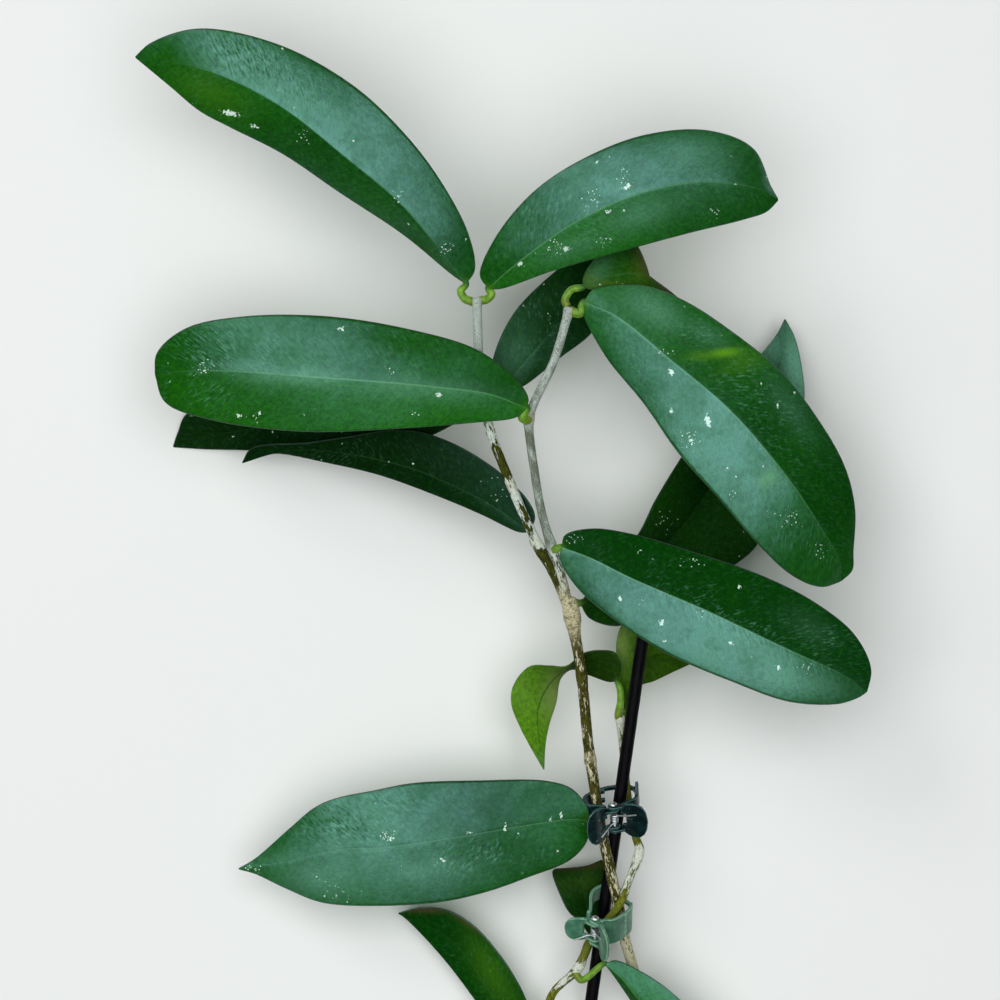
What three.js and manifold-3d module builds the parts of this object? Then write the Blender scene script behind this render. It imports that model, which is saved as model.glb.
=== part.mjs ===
import * as THREE from 'three';
import { mergeVertices } from 'three/addons/utils/BufferGeometryUtils.js';
import Module from 'manifold-3d';

// A cut length of Hoya graveolens on its black stake, laid on its back. Millimetres, +Z up.
// +Y runs up the vine. Two spring clips hold both stems to the stake.

const wasm = await Module();
wasm.setup();

// Places are plotted on a level sheet, as seen by an eye straight above it.
// A piece over or under the sheet slides along its line of sight, so its place in plan stays.
const EYE_HEIGHT = 1500;
const SHEET_HEIGHT = 45;

const GAP = 0.3;
const BLADE = 1.0;
const YOUNG_BLADE = 0.8;
const MARGIN = 0.64;

const TRUNK_RADIUS = 1.95;
const SHOOT_RADIUS = 1.7;
const SECOND_RADIUS = 1.5;
const STAKE_RADIUS = 2.3;

const at = ([across, up, height]) => {
  const spread = (EYE_HEIGHT + SHEET_HEIGHT - height) / EYE_HEIGHT;
  return new THREE.Vector3(across * spread, up * spread, height);
};
const curveThrough = (places) => new THREE.CatmullRomCurve3(places.map(at), false, 'centripetal');

const finish = (color, roughness, metalness = 0) =>
  new THREE.MeshStandardMaterial({ color, roughness, metalness });
const materials = {
  leaf: finish('#1f5a34', 0.38),
  darkLeaf: finish('#16401f', 0.45),
  youngLeaf: finish('#4c8a2a', 0.42),
  bark: finish('#8b8468', 0.85),
  secondStem: finish('#7d8448', 0.7),
  stake: finish('#141216', 0.45),
  tealPlastic: finish('#0c2a2c', 0.3),
  sagePlastic: finish('#3f7f62', 0.4),
  steel: finish('#c9cdd0', 0.3, 1),
};

// Closed solids

const solid = (geometry) => {
  const bare = geometry.clone();
  bare.deleteAttribute('normal');
  bare.deleteAttribute('uv');
  const welded = mergeVertices(bare, 1e-4);
  const vertProperties = new Float32Array(welded.attributes.position.array);
  const triVerts = new Uint32Array(welded.index.array);
  return new wasm.Manifold(new wasm.Mesh({ numProp: 3, vertProperties, triVerts }));
};

const geometryOf = (manifold) => {
  const mesh = manifold.getMesh();
  const geometry = new THREE.BufferGeometry();
  geometry.setAttribute('position', new THREE.BufferAttribute(new Float32Array(mesh.vertProperties), 3));
  geometry.setIndex(new THREE.BufferAttribute(new Uint32Array(mesh.triVerts), 1));
  geometry.computeVertexNormals();
  return geometry;
};

const joined = (solids) => solids.reduce((whole, next) => whole.add(next));

const withoutScraps = (shape) =>
  shape.decompose().reduce((main, body) => (body.volume() > main.volume() ? body : main));

const fromGrid = (vertices, faces) => {
  const geometry = new THREE.BufferGeometry();
  const numbers = vertices.flatMap((vertex) => vertex.toArray());
  geometry.setAttribute('position', new THREE.Float32BufferAttribute(numbers, 3));
  geometry.setIndex(faces.flat().filter((face) => new Set(face).size === 3).flat());
  return geometry;
};

// Limbs: round tubes of varying radius with flat ends

const limb = (curve, radiusAt, { sides = 10, step = 5.2 } = {}) => {
  const rings = Math.max(3, Math.round(curve.getLength() / step));
  const frames = curve.computeFrenetFrames(rings, false);
  const vertices = [];
  const faces = [];
  for (let i = 0; i <= rings; i += 1) {
    const centre = curve.getPointAt(i / rings);
    for (let k = 0; k < sides; k += 1) {
      const turn = (2 * Math.PI * k) / sides;
      const out = frames.normals[i].clone().multiplyScalar(Math.cos(turn));
      out.addScaledVector(frames.binormals[i], Math.sin(turn));
      vertices.push(centre.clone().addScaledVector(out, radiusAt(i / rings, turn)));
    }
  }
  for (let i = 0; i < rings; i += 1) {
    for (let k = 0; k < sides; k += 1) {
      const a = i * sides + k;
      const b = i * sides + ((k + 1) % sides);
      faces.push([[a, b, b + sides], [a, b + sides, a + sides]]);
    }
  }
  const last = rings * sides;
  for (let k = 1; k < sides - 1; k += 1) {
    faces.push([[0, k + 1, k], [last, last + k, last + k + 1]]);
  }
  return solid(fromGrid(vertices, faces));
};

// Leaves: three rails (two margins and the rib between them) carry one thick waved blade

const STATIONS = 14;
const ACROSS = [-1, -0.68, -0.34, 0, 0.34, 0.68, 1];

const bladeSurface = (leaf) => {
  const { base, tip, rib, left, right, arch = 0.04 } = leaf;
  const rails = [left, rib, right].map((between) => curveThrough([base, ...between, tip]));
  const rows = [];
  for (let i = 0; i <= STATIONS; i += 1) {
    const even = i / STATIONS;
    const share = 0.5 * even + 0.25 * (1 - Math.cos(Math.PI * even));
    const [port, spine, starboard] = rails.map((rail) => rail.getPointAt(share));
    const along = rails[1].getTangentAt(share);
    rows.push(ACROSS.map((reach) => {
      const margin = reach < 0 ? port : starboard;
      const span = margin.clone().sub(spine);
      const point = spine.clone().addScaledVector(span, Math.abs(reach));
      const outward = reach < 0 ? span.clone().cross(along) : along.clone().cross(span);
      const up = outward.normalize().negate();
      const swell = 4 * Math.abs(reach) * (1 - Math.abs(reach));
      return point.addScaledVector(up, arch * swell * span.length());
    }));
  }
  return rows;
};

const surfaceNormals = (rows) => {
  const columns = ACROSS.length;
  return rows.map((row, i) => row.map((point, j) => {
    const before = rows[Math.max(i - 1, 0)][j];
    const after = rows[Math.min(i + 1, STATIONS)][j];
    const inward = Math.min(Math.max(i, 1), STATIONS - 1);
    const port = rows[inward][Math.max(j - 1, 0)];
    const starboard = rows[inward][Math.min(j + 1, columns - 1)];
    const across = starboard.clone().sub(port);
    return across.cross(after.clone().sub(before)).normalize();
  }));
};

const blade = (leaf, thickness) => {
  const rows = bladeSurface(leaf);
  const normals = surfaceNormals(rows);
  const columns = ACROSS.length;
  const count = rows.length * columns;
  const face = (side) => rows.flatMap((row, i) => row.map((point, j) => {
    const end = i === 0 || i === STATIONS;
    const centre = end ? (columns - 1) / 2 : j;
    const thin = end || j === 0 || j === columns - 1;
    const offset = (side * (thin ? MARGIN : thickness)) / 2;
    return rows[i][centre].clone().addScaledVector(normals[i][centre], offset);
  }));
  const vertices = [...face(1), ...face(-1)];
  const name = (i, j) => (i === 0 || i === STATIONS ? i * columns : i * columns + j);
  const faces = [];
  for (let i = 0; i < STATIONS; i += 1) {
    for (let j = 0; j < columns - 1; j += 1) {
      const [a, b, c, d] = [name(i, j), name(i, j + 1), name(i + 1, j + 1), name(i + 1, j)];
      const split = j < (columns - 1) / 2 ? [[a, b, c], [a, c, d]] : [[a, b, d], [b, c, d]];
      faces.push(split);
      faces.push(split.map(([p, q, r]) => [p + count, r + count, q + count]));
    }
    for (const [j, turned] of [[0, false], [columns - 1, true]]) {
      const [a, d] = [name(i, j), name(i + 1, j)];
      const rim = [[a, d, d + count], [a, d + count, a + count]];
      faces.push(turned ? rim.map(([p, q, r]) => [p, r, q]) : rim);
    }
  }
  return solid(fromGrid(vertices, faces));
};

const stalk = (leaf) => {
  const rib = curveThrough([leaf.base, ...leaf.rib, leaf.tip]);
  const inBlade = rib.getPointAt(leaf.tongue ?? 0.07);
  const curve = new THREE.CatmullRomCurve3([inBlade, ...[leaf.base, ...leaf.stalk].map(at)]);
  const radiusAt = (share) => leaf.stalkRadius * (0.55 + 0.45 * Math.min(1, share * 2.2));
  return limb(curve, radiusAt, { sides: 7, step: 2.4 });
};

// Places in plan (across, up) and height. A leaf's left is as seen from its base, its face up.

const LEAVES = {
  leaf_top_left: {
    base: [-12.2, 77.8, 47],
    rib: [[-23, 91.8, 55], [-35.6, 106.6, 60], [-54, 122.4, 64], [-79.9, 142.6, 63], [-105.5, 154.8, 57]],
    tip: [-131.4, 159.5, 49],
    left: [[-17.3, 81.3, 47], [-34.2, 95.2, 49.5], [-58, 111, 53], [-78.1, 124.6, 53],
      [-97.2, 134.3, 52], [-108.2, 140.2, 51], [-118.4, 148.7, 50.5]],
    right: [[-9.2, 82.8, 47], [-11.5, 95.8, 52], [-21.6, 115, 57], [-34.7, 132.1, 60], [-53.3, 149.4, 61],
      [-79.9, 163.9, 59.5], [-108.4, 169.6, 55.5], [-125.6, 164.5, 51]],
    stalk: [[-14.1, 75.4, 46.5], [-12.8, 72.6, 46], [-10.6, 71.6, 45.5], [-8.3, 70.9, 45]],
    stalkRadius: 1.4,
  },
  leaf_top_right: {
    base: [-4.3, 76.3, 47],
    rib: [[9, 87.5, 56], [27.7, 100.4, 62], [51.8, 110.9, 65], [73.8, 114.5, 62], [91.8, 112.3, 57]],
    tip: [100.2, 108, 51],
    left: [[-7.1, 80.7, 48], [-1.8, 94, 54], [11.3, 110.1, 59], [28, 121.7, 62], [51.6, 131.2, 62],
      [75.2, 132.9, 58], [91.2, 126.4, 54], [97.4, 113, 51.5]],
    right: [[-0.4, 76, 48], [19.1, 82.6, 53], [47.9, 90.8, 56], [68.4, 96.3, 56.5], [87.5, 101, 54],
      [96, 103.9, 52.5]],
    stalk: [[-3, 74.2, 47], [-4.9, 72.2, 46], [-6.8, 71.8, 45.5], [-8.3, 70.9, 45]],
    stalkRadius: 1.4,
  },
  leaf_behind_fork: {
    dark: true,
    base: [-2.4, 37, 39.5],
    rib: [[4.7, 45, 36], [17.3, 59.4, 32], [28.8, 72, 27]],
    tip: [41, 92.5, 18],
    left: [[-3.2, 46.1, 38], [-0.4, 56.9, 37], [5.8, 68.2, 35], [14.4, 77.3, 31], [25.2, 86.2, 26],
      [35.3, 91.4, 21]],
    right: [[0.7, 37.4, 37.5], [8.3, 41, 35], [21.6, 51.3, 30], [33.1, 60.5, 25], [38.9, 72, 21],
      [41.8, 82.8, 18]],
    stalk: [[-3.4, 36.2, 41.4], [-5.3, 36, 42.6]],
    stalkRadius: 1.3,
  },
  leaf_middle_left: {
    base: [9.7, 33.1, 45.5],
    rib: [[-4.3, 38.2, 52.5], [-23.4, 40.7, 57], [-42.8, 42.5, 59], [-62.3, 43.9, 58], [-81.4, 45.4, 55],
      [-95.8, 46.4, 51.5], [-111.6, 46.4, 46]],
    tip: [-124.2, 45.4, 37],
    left: [[5.8, 29.9, 47], [-9, 28, 50], [-38.2, 25.7, 54], [-71.6, 24.8, 51], [-104.2, 29, 44],
      [-120.6, 35.4, 38.5]],
    right: [[10.1, 36.7, 46.5], [5.4, 43.8, 49], [-8.8, 54.2, 53], [-33, 61.4, 56], [-62.3, 66, 56],
      [-92.9, 65.9, 51], [-113, 61.7, 45], [-123.4, 52.9, 38.5]],
    stalk: [[7.9, 29.9, 45], [9.7, 28.8, 43.5], [10.4, 29.5, 42.3]],
    stalkRadius: 1.5,
  },
  leaf_right_front: {
    base: [30.2, 71.3, 48],
    rib: [[42.1, 65.9, 54], [61.2, 50.4, 61], [83.5, 31.3, 65], [104.4, 6.5, 61], [117, -12.6, 53],
      [122, -21.6, 47]],
    tip: [122.6, -29.3, 41],
    left: [[33.8, 75.8, 48], [50.6, 77.2, 50.5], [65.9, 71.9, 53], [83.7, 60.4, 54.5], [101, 46.2, 54.5],
      [115, 28.2, 52.5], [124.2, 11.6, 49.5], [127.7, -3.2, 46.5], [127.1, -18.4, 43.5],
      [126.7, -25.2, 41.5]],
    right: [[29.9, 67.7, 48], [38.3, 51.5, 52.5], [51.6, 35.1, 57], [64.2, 17.1, 60.5], [78.6, 0.8, 61.5],
      [92.3, -15.1, 58.5], [105, -26.9, 52], [115.6, -31.2, 45]],
    stalk: [[28.8, 67.3, 47.5], [26.3, 67.7, 46.5], [24.8, 68.8, 46]],
    stalkRadius: 1.5,
  },
  leaf_arched_back: {
    dark: true,
    base: [29.9, 76.7, 46],
    rib: [[36, 79.9, 48.4], [45, 81.4, 49.6], [51.1, 81.4, 47], [53.4, 80.6, 42], [52.7, 79.6, 33],
      [50.4, 78.1, 22]],
    tip: [46.8, 76.7, 10],
    left: [[30.2, 80.6, 46.5], [34.6, 87.1, 45.5], [41.8, 92.5, 45], [48.5, 92, 42.5], [49.9, 89.3, 35],
      [49.2, 85.7, 25], [47.9, 80.6, 15]],
    right: [[33.1, 75.6, 45.6], [43.9, 72, 44.4], [56.8, 71.4, 43.6], [64.8, 71.6, 38], [63.2, 72, 28],
      [54, 73.4, 16]],
    stalk: [[25.6, 75.6, 45.5], [23.4, 71.6, 45], [24.6, 69.6, 45.5]],
    stalkRadius: 1.3,
  },
  leaf_right_back: {
    dark: true,
    base: [28.8, -37.1, 31],
    rib: [[46.8, -27, 21], [64.8, -10.1, 10.5], [77.4, 7.2, 3.2], [88.2, 24.5, 0.4], [99.7, 47.2, 1.8],
      [102.6, 57.6, 5]],
    tip: [102.6, 65.2, 9],
    left: [[36, -28.1, 31], [49.6, -12.6, 27], [56, 0, 22], [66.4, 16.9, 15], [80.4, 36.7, 10], [94, 52.3, 9],
      [99.9, 59.8, 9.5]],
    right: [[32.2, -42.4, 28.5], [42.5, -45.2, 25], [61.2, -36.7, 17], [84.2, -23.4, 11], [92.5, -16, 9],
      [104.2, 10.8, 8], [109.4, 36, 8], [108.9, 45.7, 8.5], [106.1, 58.3, 9]],
    stalk: [[26.6, -36.9, 32.4], [24.8, -37.1, 33.8]],
    stalkRadius: 1.6,
  },
  leaf_middle_right: {
    base: [22.3, -16.9, 42],
    rib: [[33.1, -21.2, 47], [46.8, -28.1, 51.5], [74.9, -40.3, 56], [103.7, -54, 53], [124.2, -63.4, 46]],
    tip: [132.1, -69.1, 41],
    left: [[23.4, -12.8, 42.5], [33.1, -10.4, 43.5], [48.6, -12.6, 45.5], [69.8, -18.9, 48], [94, -27.2, 48],
      [113.4, -37, 46], [127.6, -48.6, 43.5], [133.5, -60.8, 41.5]],
    right: [[21.6, -20.9, 42.5], [27.4, -31, 45], [41, -42.8, 49.5], [60.1, -55.1, 53.5], [84.2, -65.5, 54],
      [103.7, -72.4, 51], [121, -73.4, 46], [128.5, -71.3, 42.5]],
    stalk: [[20.5, -17.6, 41.2], [19.3, -17.6, 39.6]],
    stalkRadius: 1.4,
  },
  leaf_left_shaded: {
    dark: true,
    base: [10.8, -11.5, 34],
    rib: [[-4, -1.1, 33], [-20.2, 6.8, 31], [-31.7, 11.5, 29], [-57.6, 17.2, 23], [-77.4, 17.8, 18]],
    tip: [-92.9, 13.3, 13],
    left: [[7, -11.5, 33], [-6.1, -5.4, 31], [-20.5, 0.7, 28], [-43.2, 9, 23], [-62.3, 13.5, 19],
      [-80.5, 16.9, 15.5], [-88.2, 16, 14]],
    right: [[12.5, -6, 35], [10.1, -0.4, 36], [1.8, 8.3, 36], [-9.1, 16.1, 35], [-18.5, 21, 34],
      [-28.8, 24.4, 32.5], [-40, 25, 30], [-53.3, 23, 26.5], [-68.8, 20.7, 22], [-89.3, 18.6, 15.5]],
    stalk: [[12.2, -15.5, 35], [13.7, -16.6, 37.3]],
    stalkRadius: 1.3,
  },
  leaf_left_low: {
    dark: true,
    base: [-7.9, 36, 38],
    rib: [[-25.2, 33.1, 30], [-46.8, 29.5, 20], [-72, 27.4, 10], [-97.2, 24.5, 3.5]],
    tip: [-117.7, 19.1, 0.1],
    left: [[-12.2, 30.6, 36.5], [-28.8, 21.6, 25], [-50.4, 16.2, 14], [-72, 16.9, 7], [-90.4, 18, 3.2],
      [-106.2, 18.4, 1]],
    right: [[-13.7, 41.4, 37], [-28.8, 43.2, 32], [-54, 41.4, 22], [-79.2, 38.9, 13], [-99, 35.3, 7],
      [-112.7, 31, 3.3], [-116, 24, 1.3]],
    stalk: [[-7.6, 35.6, 40.6], [-5.3, 35.6, 42.6]],
    stalkRadius: 1.3,
  },
  young_leaf_twisted: {
    young: true,
    base: [42.1, -65.2, 24],
    rib: [[38.2, -59.8, 25], [31.7, -58, 25], [24.5, -60.1, 25], [18, -65.9, 26], [13.7, -74.9, 25],
      [14, -86.4, 21]],
    tip: [15.8, -97.2, 16],
    left: [[39.2, -65.4, 22.5], [32.4, -63.1, 21.5], [25.9, -60.9, 20.5], [21.8, -64.2, 22.5],
      [20.2, -72.7, 23.5], [17.6, -81, 21.5], [16.2, -88.9, 18.5]],
    right: [[43.6, -60.5, 26], [41.4, -55, 27], [36.7, -54.1, 27.5], [30.4, -55, 27.3], [23.8, -59.9, 28.5],
      [18.2, -59.7, 29], [10.7, -60, 28.5], [4.9, -66.9, 27], [4.2, -73.4, 26], [7.2, -81.6, 23],
      [12.2, -91, 19]],
    stalk: [[42.5, -68.2, 24.3], [43, -72.7, 23.8], [42.6, -77.5, 22.5], [43.2, -78.8, 21.4]],
    stalkRadius: 1.1,
  },
  young_leaf_shaded: {
    young: true,
    base: [45, -75.6, 19.5],
    rib: [[46.8, -66.6, 20.5], [50.4, -58.7, 21], [58.3, -55.4, 20.5]],
    tip: [68.4, -59, 17],
    left: [[43.6, -72, 19.2], [42.5, -61.9, 20], [42.1, -50.4, 21.5], [45, -43.9, 22.5], [52.2, -45, 22.5],
      [61.2, -52.2, 20]],
    right: [[47.5, -70.6, 19], [50.8, -66.6, 19.2], [55.1, -65.2, 19], [61.2, -62.3, 18]],
    stalk: [[44.6, -77.5, 20], [43.3, -79.2, 21.2]],
    stalkRadius: 1,
  },
  leaf_lower_left: {
    base: [32.2, -115.6, 28.3],
    rib: [[26.6, -114.9, 29], [5.8, -117.7, 31], [-12.6, -121, 33], [-43.9, -125.3, 32], [-58.7, -126, 30],
      [-77.4, -130.3, 24]],
    tip: [-94.3, -132.8, 18],
    left: [[32.1, -118.8, 26.5], [30.8, -123.6, 26.2], [25, -129.6, 26.5], [9.8, -135.8, 27.5],
      [-4, -140.7, 28], [-20.6, -144.5, 28], [-43.9, -146, 27], [-64.1, -144.8, 24], [-77, -139.8, 21.5],
      [-88.2, -134.5, 19]],
    right: [[32, -112.4, 29.4], [30, -108.4, 29.8], [25.4, -103.8, 29.6], [16.4, -101.2, 30.5],
      [-7.2, -101.1, 32], [-31, -102, 32], [-46, -104.8, 30.5], [-58.7, -107.4, 28.5], [-66.4, -110.6, 27],
      [-75.6, -118.2, 24], [-88.2, -129.2, 19.5]],
    stalk: [[34.4, -117.4, 26.4], [36.4, -119, 24.2]],
    stalkRadius: 1.3,
  },
  young_leaf_curled: {
    dark: true,
    base: [33.1, -157.7, 11],
    rib: [[31.7, -149.4, 10], [29.9, -140.4, 10.2], [28.4, -134.2, 9], [28.1, -132.5, 6.2]],
    tip: [28.1, -135.4, 2.5],
    left: [[28.1, -151.2, 11.5], [25, -148.5, 12], [21.4, -141.5, 12.5], [18.9, -134.3, 12],
      [20.2, -132.8, 8], [23.8, -133.9, 4]],
    right: [[36.4, -151.9, 9.4], [38.2, -142.2, 9.2], [38.2, -133.2, 9.2], [37.1, -129.7, 8],
      [34.6, -131, 6], [31.7, -133.9, 3.5]],
    stalk: [[31, -163.1, 14], [28.8, -167.8, 15.8]],
    stalkRadius: 1.2,
  },
  leaf_foot_left: {
    base: [10.4, -207, 6.5],
    rib: [[1.8, -187.2, 10.5], [-7.2, -171, 11.5], [-18, -157.7, 10.5]],
    tip: [-36.7, -148.7, 8],
    left: [[6.5, -204.5, 6], [0.4, -194.6, 6.5], [-9, -179.9, 8], [-22.3, -162.7, 8], [-35.3, -149.4, 7.5]],
    right: [[12.3, -194.4, 9], [9.9, -181.6, 12], [5.6, -172.4, 14], [-1.4, -162, 15], [-9.7, -153, 15],
      [-19.1, -147.6, 13], [-29.2, -146.9, 10]],
    stalk: [[12.5, -209.5, 6], [14.4, -210.6, 5.6]],
    stalkRadius: 1.2,
  },
  leaf_foot_right: {
    base: [37.8, -167, 20],
    rib: [[43.9, -172.1, 21], [50.4, -180, 21.5], [61.9, -192.6, 21.5], [75.6, -204.5, 19.5]],
    tip: [88.6, -214.6, 14],
    left: [[41.4, -165.8, 20.5], [48.8, -168.8, 22], [58.4, -174.7, 23.5], [68.4, -183.6, 24],
      [79.2, -196.2, 22], [85.7, -207, 19]],
    right: [[40.3, -170.3, 19.5], [46.8, -179.6, 15.5], [56.9, -195.5, 12.5], [72, -208.8, 12],
      [81, -213.5, 12.5]],
    stalk: [[34.9, -168.8, 19.5], [32, -171.4, 18.5], [29.2, -172.8, 17.5], [27, -170, 16.2]],
    stalkRadius: 1.2,
  },
};

// Stems: the woody vine forks into two shoots, and a thinner second stem twines round the stake

const LEFT_SHOOT = [
  [-8.3, 73, 46], [-8, 61, 45], [-7.7, 53.3, 44.2], [-4.6, 28.8, 42.2], [2.6, 8.8, 40.5], [12.8, -14.6, 38],
  [20, -28, 36], [25.2, -40, 33.5],
];
const RIGHT_SHOOT = [
  [25.2, 69.5, 46.5], [19.3, 49.9, 45], [12.1, 34.6, 43], [10.4, 29.5, 42], [12.9, 7.2, 41.5],
  [14.8, -3.6, 40.6], [17.6, -13.7, 39.5], [22, -27, 37], [25.4, -41, 33.5],
];
const TRUNK = [
  [24.7, -35, 34.6], [25.9, -41.4, 33.5], [26.8, -47.5, 32.6], [29.2, -61.6, 31], [31.9, -88.9, 27.5],
  [34.4, -106, 25.2], [37, -121, 24], [39.7, -133, 23.4], [42, -144, 21], [45.2, -159.1, 15.5],
  [47.7, -168, 12.8], [50.4, -180, 10.2], [54.7, -201.6, 6.4], [58.3, -231.1, 2.3],
];
const SECOND_STEM = [
  [43.2, -77.6, 21.8], [44.2, -88.2, 21], [44.9, -97.2, 19.8], [45.7, -104.4, 19.2], [46.8, -113.4, 19.3],
  [49, -121.7, 20.7], [50.2, -126, 22], [46.3, -137.2, 24], [43.2, -145.4, 24.8], [37.6, -152.5, 22],
  [32.4, -158.4, 19], [28.1, -168.5, 16], [18.7, -178.2, 12.6], [15.5, -194.4, 9], [14.4, -210.6, 5.6],
  [16.9, -232.6, 1.9],
];
const STAKE = [[55.1, -23.4, 36], [25.2, -234, 2.05]];

// Ring swellings where leaves grew: share of the length, extra radius and spread
const swelling = (share, [place, extra, spread]) => extra * Math.exp(-(((share - place) / spread) ** 2));
const bark = (radius, knobs, roughness) => (share, turn) => {
  const knob = knobs.reduce((sum, one) => sum + swelling(share, one), 0);
  const ripple = Math.sin(3 * turn + 40 * share) * Math.sin(61 * share + 2 * turn);
  return radius + knob + roughness * ripple;
};

const SECOND_KNOBS = [[0, 0.5, 0.02], [0.3, 0.4, 0.02], [0.58, 0.5, 0.02], [0.84, 0.4, 0.02]];
const stems = {
  vine_main: [
    [LEFT_SHOOT, bark(SHOOT_RADIUS, [[0, 0.5, 0.02], [0.33, 0.5, 0.03], [0.79, 0.5, 0.03]], 0.1)],
    [RIGHT_SHOOT, bark(SHOOT_RADIUS - 0.1, [[0, 0.6, 0.03], [0.37, 0.5, 0.03], [0.77, 0.45, 0.03]], 0.08)],
    [TRUNK, bark(TRUNK_RADIUS, [[0.03, 1.1, 0.03], [0.3, 0.3, 0.02]], 0.12)],
  ],
  second_stem: [
    [SECOND_STEM, bark(SECOND_RADIUS, SECOND_KNOBS, 0.1)],
  ],
};
const stemSolid = (limbs, extra) =>
  joined(limbs.map(([places, radiusAt]) => limb(curveThrough(places), (s, t) => radiusAt(s, t) + extra)));

// Spring clips, each in its own frame: the pin along Z, the paddles in front (-Y), the claws behind

const PLASTIC = 1.2;
const PIN_RADIUS = 0.6;
const PIN_REACH = 5.7;
const LUG_RADIUS = 2.1;
const LUG_THICK = 1;
const LUG_LEVELS = { left: 3.5, right: 4.9 };
const COIL = { radius: 1.25, wire: 0.3, turns: 4, pitch: 0.72, sides: 5, stepsPerTurn: 8 };
const PADDLE_LINE = [[3, -0.5], [4.8, -2.2], [7.5, -4.2], [11.6, -5.6]];
const WINDOW = { reach: 4.2, height: 4.6 };

const CLIPS = {
  clip_upper: {
    pin: [41.1, -114.5, 28.3], tilt: 28, yaw: 8, roll: 5, plastic: materials.tealPlastic,
    left: {
      paddle: { reach: 11.4, tall: 7.6 },
      plate: [[-3, -0.5], [-3.5, 0.9], [-5.4, 1.7], [-8.2, 2.9], [-9.5, 5.8], [-8.8, 9], [-6, 10.9]],
      reach: [[-7, 10.4], [-6, 10.9], [-2.8, 11.5], [-0.9, 11.5]],
      levels: [0.2, 5.7], fingers: [1, 4.8],
    },
    right: {
      paddle: { reach: 11.4, tall: 7.4 },
      plate: [[3, -0.5], [3.5, 0.9], [5.8, 1.9], [8.8, 3.2], [10.3, 6.6], [10.8, 9.8], [10.6, 11.6]],
      reach: [[10.7, 10.6], [10.6, 11.6], [9.6, 13.6], [5.6, 15.4], [1, 16], [-2.6, 15.4]],
      levels: [0.2, 5.2], fingers: [2.9], horn: [[3.6, 4], [7.2, 9.6], [9.6, 4]],
    },
  },
  clip_lower: {
    pin: [34.2, -155.2, 26], tilt: 32, yaw: -41, roll: 0, plastic: materials.sagePlastic,
    left: {
      paddle: { reach: 10, tall: 4.9 },
      plate: [[-3, -0.5], [-3.5, 1.4], [-5.8, 4.4], [-9, 8.5], [-10.2, 12], [-9.4, 16.2]],
      reach: [[-9.8, 15.2], [-9.4, 16.2], [-5.6, 18], [-2.8, 17.9]],
      levels: [1.8, 7.6], fingers: [2.7, 6.7],
    },
    right: {
      paddle: { reach: 11, tall: 7.4 },
      plate: [[3, -0.5], [3.5, 1.2], [5.6, 3], [6.5, 8], [6.1, 12.6], [4.2, 15.4]],
      reach: [[5, 14.6], [4.2, 15.4], [0.8, 16.4], [-1.8, 17.8]],
      levels: [-4.4, 6.6], fingers: [4.7],
    },
  },
};
const FINGER_HEIGHT = 1.7;

const strip = (line, low, high) => {
  const places = line.map(([x, y]) => new THREE.Vector3(x, y, 0));
  const curve = new THREE.CatmullRomCurve3(places, false, 'centripetal');
  const steps = Math.max(5, Math.round(2.4 * line.length));
  const edge = (offset) => Array.from({ length: steps + 1 }, (_, i) => {
    const tangent = curve.getTangentAt(i / steps);
    const point = curve.getPointAt(i / steps);
    return new THREE.Vector2(point.x - tangent.y * offset, point.y + tangent.x * offset);
  });
  const outline = new THREE.Shape([...edge(PLASTIC / 2), ...edge(-PLASTIC / 2).reverse()]);
  const geometry = new THREE.ExtrudeGeometry(outline, { depth: high - low, bevelEnabled: false });
  return solid(geometry.translate(0, 0, low));
};

const prismAlong = (axis, points, depth) => {
  const outline = new THREE.Shape(points.map(([x, y]) => new THREE.Vector2(x, y)));
  const geometry = new THREE.ExtrudeGeometry(outline, { depth, bevelEnabled: false });
  geometry.translate(0, 0, -depth / 2).rotateX(Math.PI / 2);
  return solid(axis === 'x' ? geometry.rotateZ(Math.PI / 2) : geometry);
};

const paddle = (side, { reach, tall }) => {
  const outline = new THREE.Shape();
  outline.moveTo(side * 1.8, -4);
  outline.bezierCurveTo(side * 4, -tall * 1.1, side * reach, -tall * 1.3, side * reach, 0);
  outline.bezierCurveTo(side * reach, tall * 1.3, side * 4, tall * 1.1, side * 1.8, 4);
  const rounded = outline.getPoints(7).map((point) => point.toArray());
  const blank = strip(PADDLE_LINE.map(([x, y]) => [side * x, y]), -tall - 1, tall + 1);
  const window = new THREE.BoxGeometry(2 * WINDOW.reach, 30, WINDOW.height);
  return blank.intersect(prismAlong('y', rounded, 30)).subtract(solid(window));
};

const lug = (side, level) => {
  const outline = new THREE.Shape();
  outline.moveTo(0, LUG_RADIUS);
  outline.lineTo(side * 3.1, 1);
  outline.lineTo(side * 4.3, -1.6);
  outline.lineTo(side * 3.6, -2);
  outline.lineTo(0, -LUG_RADIUS);
  outline.absarc(0, 0, LUG_RADIUS, -Math.PI / 2, Math.PI / 2, side > 0);
  const hole = new THREE.Path();
  hole.absarc(0, 0, PIN_RADIUS + GAP + 0.05, 0, 2 * Math.PI);
  outline.holes.push(hole);
  const cut = { depth: LUG_THICK, bevelEnabled: false, curveSegments: 10 };
  const plate = new THREE.ExtrudeGeometry(outline, cut);
  return solid(plate.translate(0, 0, level - LUG_THICK / 2));
};

const jaw = (side, level, { paddle: size, plate, reach, levels, fingers, horn }) => {
  const pieces = [paddle(side, size), lug(side, level), lug(side, -level), strip(plate, ...levels)];
  for (const middle of fingers) {
    pieces.push(strip(reach, middle - FINGER_HEIGHT / 2, middle + FINGER_HEIGHT / 2));
  }
  if (horn) pieces.push(strip(plate, horn[0][1], horn[1][1]).intersect(prismAlong('x', horn, 40)));
  return joined(pieces);
};

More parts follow.
